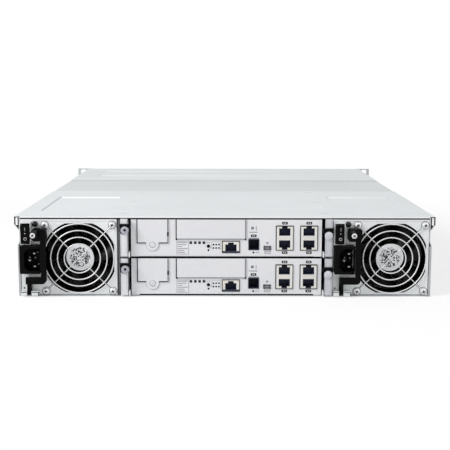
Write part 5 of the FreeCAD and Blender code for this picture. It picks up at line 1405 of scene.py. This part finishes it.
# %% Slopes of the pressings, and slots
SLOT_HALF, SLOT_WIDTH = 4.5, 1.6
SLOTS = [(side * SLOT_SIDE - SLOT_HALF, side * SLOT_SIDE + SLOT_HALF, start, start + SLOT_WIDTH)
         for side in (-1, 1) for start in (26.5, 128.0, 231.0)]
PANEL_RAMPS = [(-201.5, -129.0, 171.5, 178.7), (129.0, 201.5, 174.5, 178.7)]
BEAD_RAMPS = [(-187.5, 187.5, 452.8, 459.2), (-187.5, 187.5, 524.8, 531.2)]
for name, finish, edges in (("panel_edges", PANEL_HIGHLIGHT, PANEL_RAMPS),
                            ("bead_edges", BEAD_HIGHLIGHT, BEAD_RAMPS)):
    ramps = bmesh.new()
    for left, right, start, end in edges:
        add_wedge(ramps, left, right, REAR + start, REAR + end, TOP - 0.96, TOP - 0.02)
    finish_piece(name, ramps, finish, "chassis")
# Painted shade: darker boxes that stand for the shade inside the slots.
slots = bmesh.new()
for left, right, start, end in SLOTS:
    add_box(slots, (left, REAR + start, TOP - 0.6), (right, REAR + end, TOP + 0.02))
finish_piece("cover_slots", slots, SLOT_SHADE, "chassis")
print("pieces so far:", len(PIECES))

# %% [markdown]
# ## Drive modules
# Twelve hot-plug modules fill the front. Each is a bezel with vents at one end and a finger
# recess at the other, with a release lever between them. Bright cast metal shows behind the
# bezel when a module is pulled out, so its finish changes with depth. The lever, the button in
# the recess and two small lights are pieces of their own that ride on the module.

# %% Levers, buttons and lights of the drive modules
MODULES = [f"{number:02d}" for number in range(1, 13)]
LEVER_LEFT, LEVER_RIGHT = 33.5, 25.5    # from the bezel's two ends
RIBS = (2.0, 4.2, 6.4)
LIGHT_SIDE = 22.4


def draw_lever(number, low, high):
    """The closed release lever: a rounded plate with a groove along each long side."""
    lever = bmesh.new()
    left, right, front = low.x + LEVER_LEFT, high.x - LEVER_RIGHT, high.y
    add_round_box(lever, (left, front - 0.5, low.z + 3.2), (right, front + 0.9, high.z - 3.2), 1.2)
    for up in (low.z + 6.0, high.z - 7.0):
        add_box(lever, (left + 4, front + 0.9, up), (right - 4, front + 1.3, up + 1.0))
    finish_piece(f"drive_{number}_lever", lever, LEVER_GREY, f"drive_{number}")


def draw_button(number, low, high):
    """The release button stands in the finger recess, with three grip ribs."""
    button = bmesh.new()
    left, middle, front = low.x + 6.0, (low.z + high.z) / 2, high.y
    add_round_box(button, (left, front - 7.0, middle - 5.5), (left + 9, front - 1.6, middle + 5.5),
                  1.0)
    for rib in RIBS:
        add_box(button, (left + rib, front - 1.6, middle - 4),
                (left + rib + 0.8, front - 1.1, middle + 4))
    finish_piece(f"drive_{number}_button", button, LATCH_BUTTON, f"drive_{number}")


def draw_lights(number, low, high):
    """Two small round lenses, one above the other."""
    lights = bmesh.new()
    across, middle, front = high.x - LIGHT_SIDE, (low.z + high.z) / 2, high.y
    for up in (-4.0, 4.0):
        add_rod(lights, (across, front - 0.5, middle + up), (across, front + 0.3, middle + up),
                1.1, 20, 0.9)
    finish_piece(f"drive_{number}_lights", lights, LIGHT_LENS, f"drive_{number}")


for number in MODULES:
    soften(f"drive_module_{number}", f"drive_{number}_carrier", CARRIER, 0.5, 2)
    low, high = node_box(f"drive_module_{number}")
    draw_lever(number, low, high)
    draw_button(number, low, high)
    draw_lights(number, low, high)
print("modules dressed:", len(MODULES), "pieces so far:", len(PIECES))

# %% [markdown]
# ## Ears and side walls
# The ears are folded plates with a bow handle each; their edges are rounded like every other
# sheet edge. Flat screws along the side walls hold the slide rails' inner members. The screw
# tool draws heads that face the rear, so they are turned by a right angle and moved to the wall.

# %% Rounded ears and side screws
SCREW_PLACES = [(45.0, 30.0), (190.0, 30.0), (335.0, 30.0), (480.0, 30.0), (45.0, 12.0),
                (480.0, 12.0)]


def draw_side_screws(side, sign):
    """Screws that face outwards: drawn facing the rear, then turned about Z."""
    heads, crosses = bmesh.new(), bmesh.new()
    wall = node_box("chassis_tray")[1 if sign > 0 else 0].x
    for place, (along, up) in enumerate(SCREW_PLACES):
        for add, drawing in ((add_screw, heads), (add_cross, crosses)):
            add(drawing, (along * sign, 0, up), 3.6, 0.7, 20 + 31 * place)
    for drawing, name, finish in ((heads, "screws", SCREW_STEEL), (crosses, "crosses", SEAM_AND_SHADE_DARK)):
        bmesh.ops.rotate(drawing, cent=(0, 0, 0), matrix=turn_about("Z", 90 * sign),
                         verts=drawing.verts)
        bmesh.ops.translate(drawing, vec=(wall, REAR, 0), verts=drawing.verts)
        finish_piece(f"side_{name}_{side}", drawing, finish, "chassis")


for side, sign in (("left", -1), ("right", 1)):
    soften(f"mounting_ear_{side}", f"ear_plate_{side}", EAR_SHADED_GREY, 0.4, 2)
    draw_side_screws(side, sign)
print("pieces so far:", len(PIECES))

# %% [markdown]
# ## Stage
# The shelf stands on a pale floor under one strong soft lamp and one weak one. To the camera the
# floor glows: pure white far away, and with a third of matt surface mixed in near the shelf, so
# that a soft shadow shows only there. To all other rays the floor is plain matt.

# %% Floor
def make_stage():
    """A wide plane whose look fades from matt near the shelf to white."""
    mesh = bmesh.new()
    bmesh.ops.create_grid(mesh, x_segments=1, y_segments=1, size=6)
    data = bpy.data.meshes.new("floor")
    mesh.to_mesh(data)
    mesh.free()
    floor = bpy.data.objects.new("floor", data)
    bpy.context.scene.collection.objects.link(floor)
    shader = Shader("pale_floor")
    where = shader.node("ShaderNodeTexCoord", output="Object")
    away = shader.node("ShaderNodeVectorMath", {"operation": "LENGTH"}, {0: where},
                       output="Value")
    fade = shader.node("ShaderNodeMapRange", {"interpolation_type": "SMOOTHSTEP"}, {
        "Value": away, "From Min": 0.35, "From Max": 0.75, "To Min": 0.66, "To Max": 1.0})
    seen = shader.node("ShaderNodeLightPath", output="Is Camera Ray")
    white = shader.node("ShaderNodeEmission", {}, {"Color": (1, 1, 1, 1), "Strength": 1.0})
    matt = shader.node("ShaderNodeBsdfDiffuse", {}, {"Color": colour(252), "Roughness": 0.5})
    shader.node_output(shader.node("ShaderNodeMixShader", {}, {0: seen * fade, 1: matt, 2: white}))
    floor.data.materials.append(shader.material)
    floor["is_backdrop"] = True


make_stage()
print("floor laid")

# %% [markdown]
# A wide lamp gives shadows with soft edges, where a small one gives hard ones. The key lamp
# stands high on the left, and a weak fill lamp opposite keeps the right side readable.

# %% Lamps
def soft_lamp(name, place, target, size, power):
    """A round area lamp that looks at a point; places in metres, power in watts."""
    data = bpy.data.lights.new(name, "AREA")
    data.shape = "DISK"
    data.size = size
    data.energy = power
    lamp = bpy.data.objects.new(name, data)
    lamp.location = place
    lamp.rotation_mode = "QUATERNION"
    lamp.rotation_quaternion = (Vector(target) - Vector(place)).to_track_quat("-Z", "Y")
    bpy.context.scene.collection.objects.link(lamp)
    return lamp


for lamp in (soft_lamp("key_lamp", (-1.5, -1.1, 1.25), (0, -0.1, 0.05), 0.7, 27),
             soft_lamp("fill_lamp", (1.4, -1.6, 1.2), (0, -0.2, 0.05), 1.4, 3.5)):
    print(lamp.name, "power, W:", round(lamp.data.energy, 1))

# %% [markdown]
# Light also comes evenly from all round. The world has two backgrounds: a dim one that lights the
# shelf, and plain white for what the camera sees directly, or in a mirror-like surface. A light
# path node tells the two kinds of ray apart.

# %% Even light from all round
EVEN_LIGHT = 0.58


def light_world(strength):
    """Even pale light all round; the camera and mirrors see plain white behind the object."""
    world = bpy.data.worlds.new("studio")
    bpy.context.scene.world = world
    world.use_nodes = True
    tree = world.node_tree
    tree.nodes.clear()
    path = tree.nodes.new("ShaderNodeLightPath")
    white = path.outputs["Is Camera Ray"]
    for kind in ("Is Transmission Ray", "Is Glossy Ray"):
        either = tree.nodes.new("ShaderNodeMath")
        either.operation = "MAXIMUM"
        tree.links.new(white, either.inputs[0])
        tree.links.new(path.outputs[kind], either.inputs[1])
        white = either.outputs[0]
    mix = tree.nodes.new("ShaderNodeMixShader")
    tree.links.new(white, mix.inputs[0])
    for place, light in ((1, strength), (2, 1.0)):
        background = tree.nodes.new("ShaderNodeBackground")
        background.inputs["Color"].default_value = (1, 1, 1, 1)
        background.inputs["Strength"].default_value = light
        tree.links.new(background.outputs[0], mix.inputs[place])
    output = tree.nodes.new("ShaderNodeOutputWorld")
    tree.links.new(mix.outputs[0], output.inputs["Surface"])


light_world(EVEN_LIGHT)
bpy.context.scene.view_settings.view_transform = "Standard"
print("even light:", EVEN_LIGHT)

# %% [markdown]
# ## Sizes
# The last step measures the box of all visible pieces and prints it in millimetres.

# %% Measure the visual box
low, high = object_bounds()
print("visual box, mm:", [round(v / MM, 1) for v in (*low, *high)])
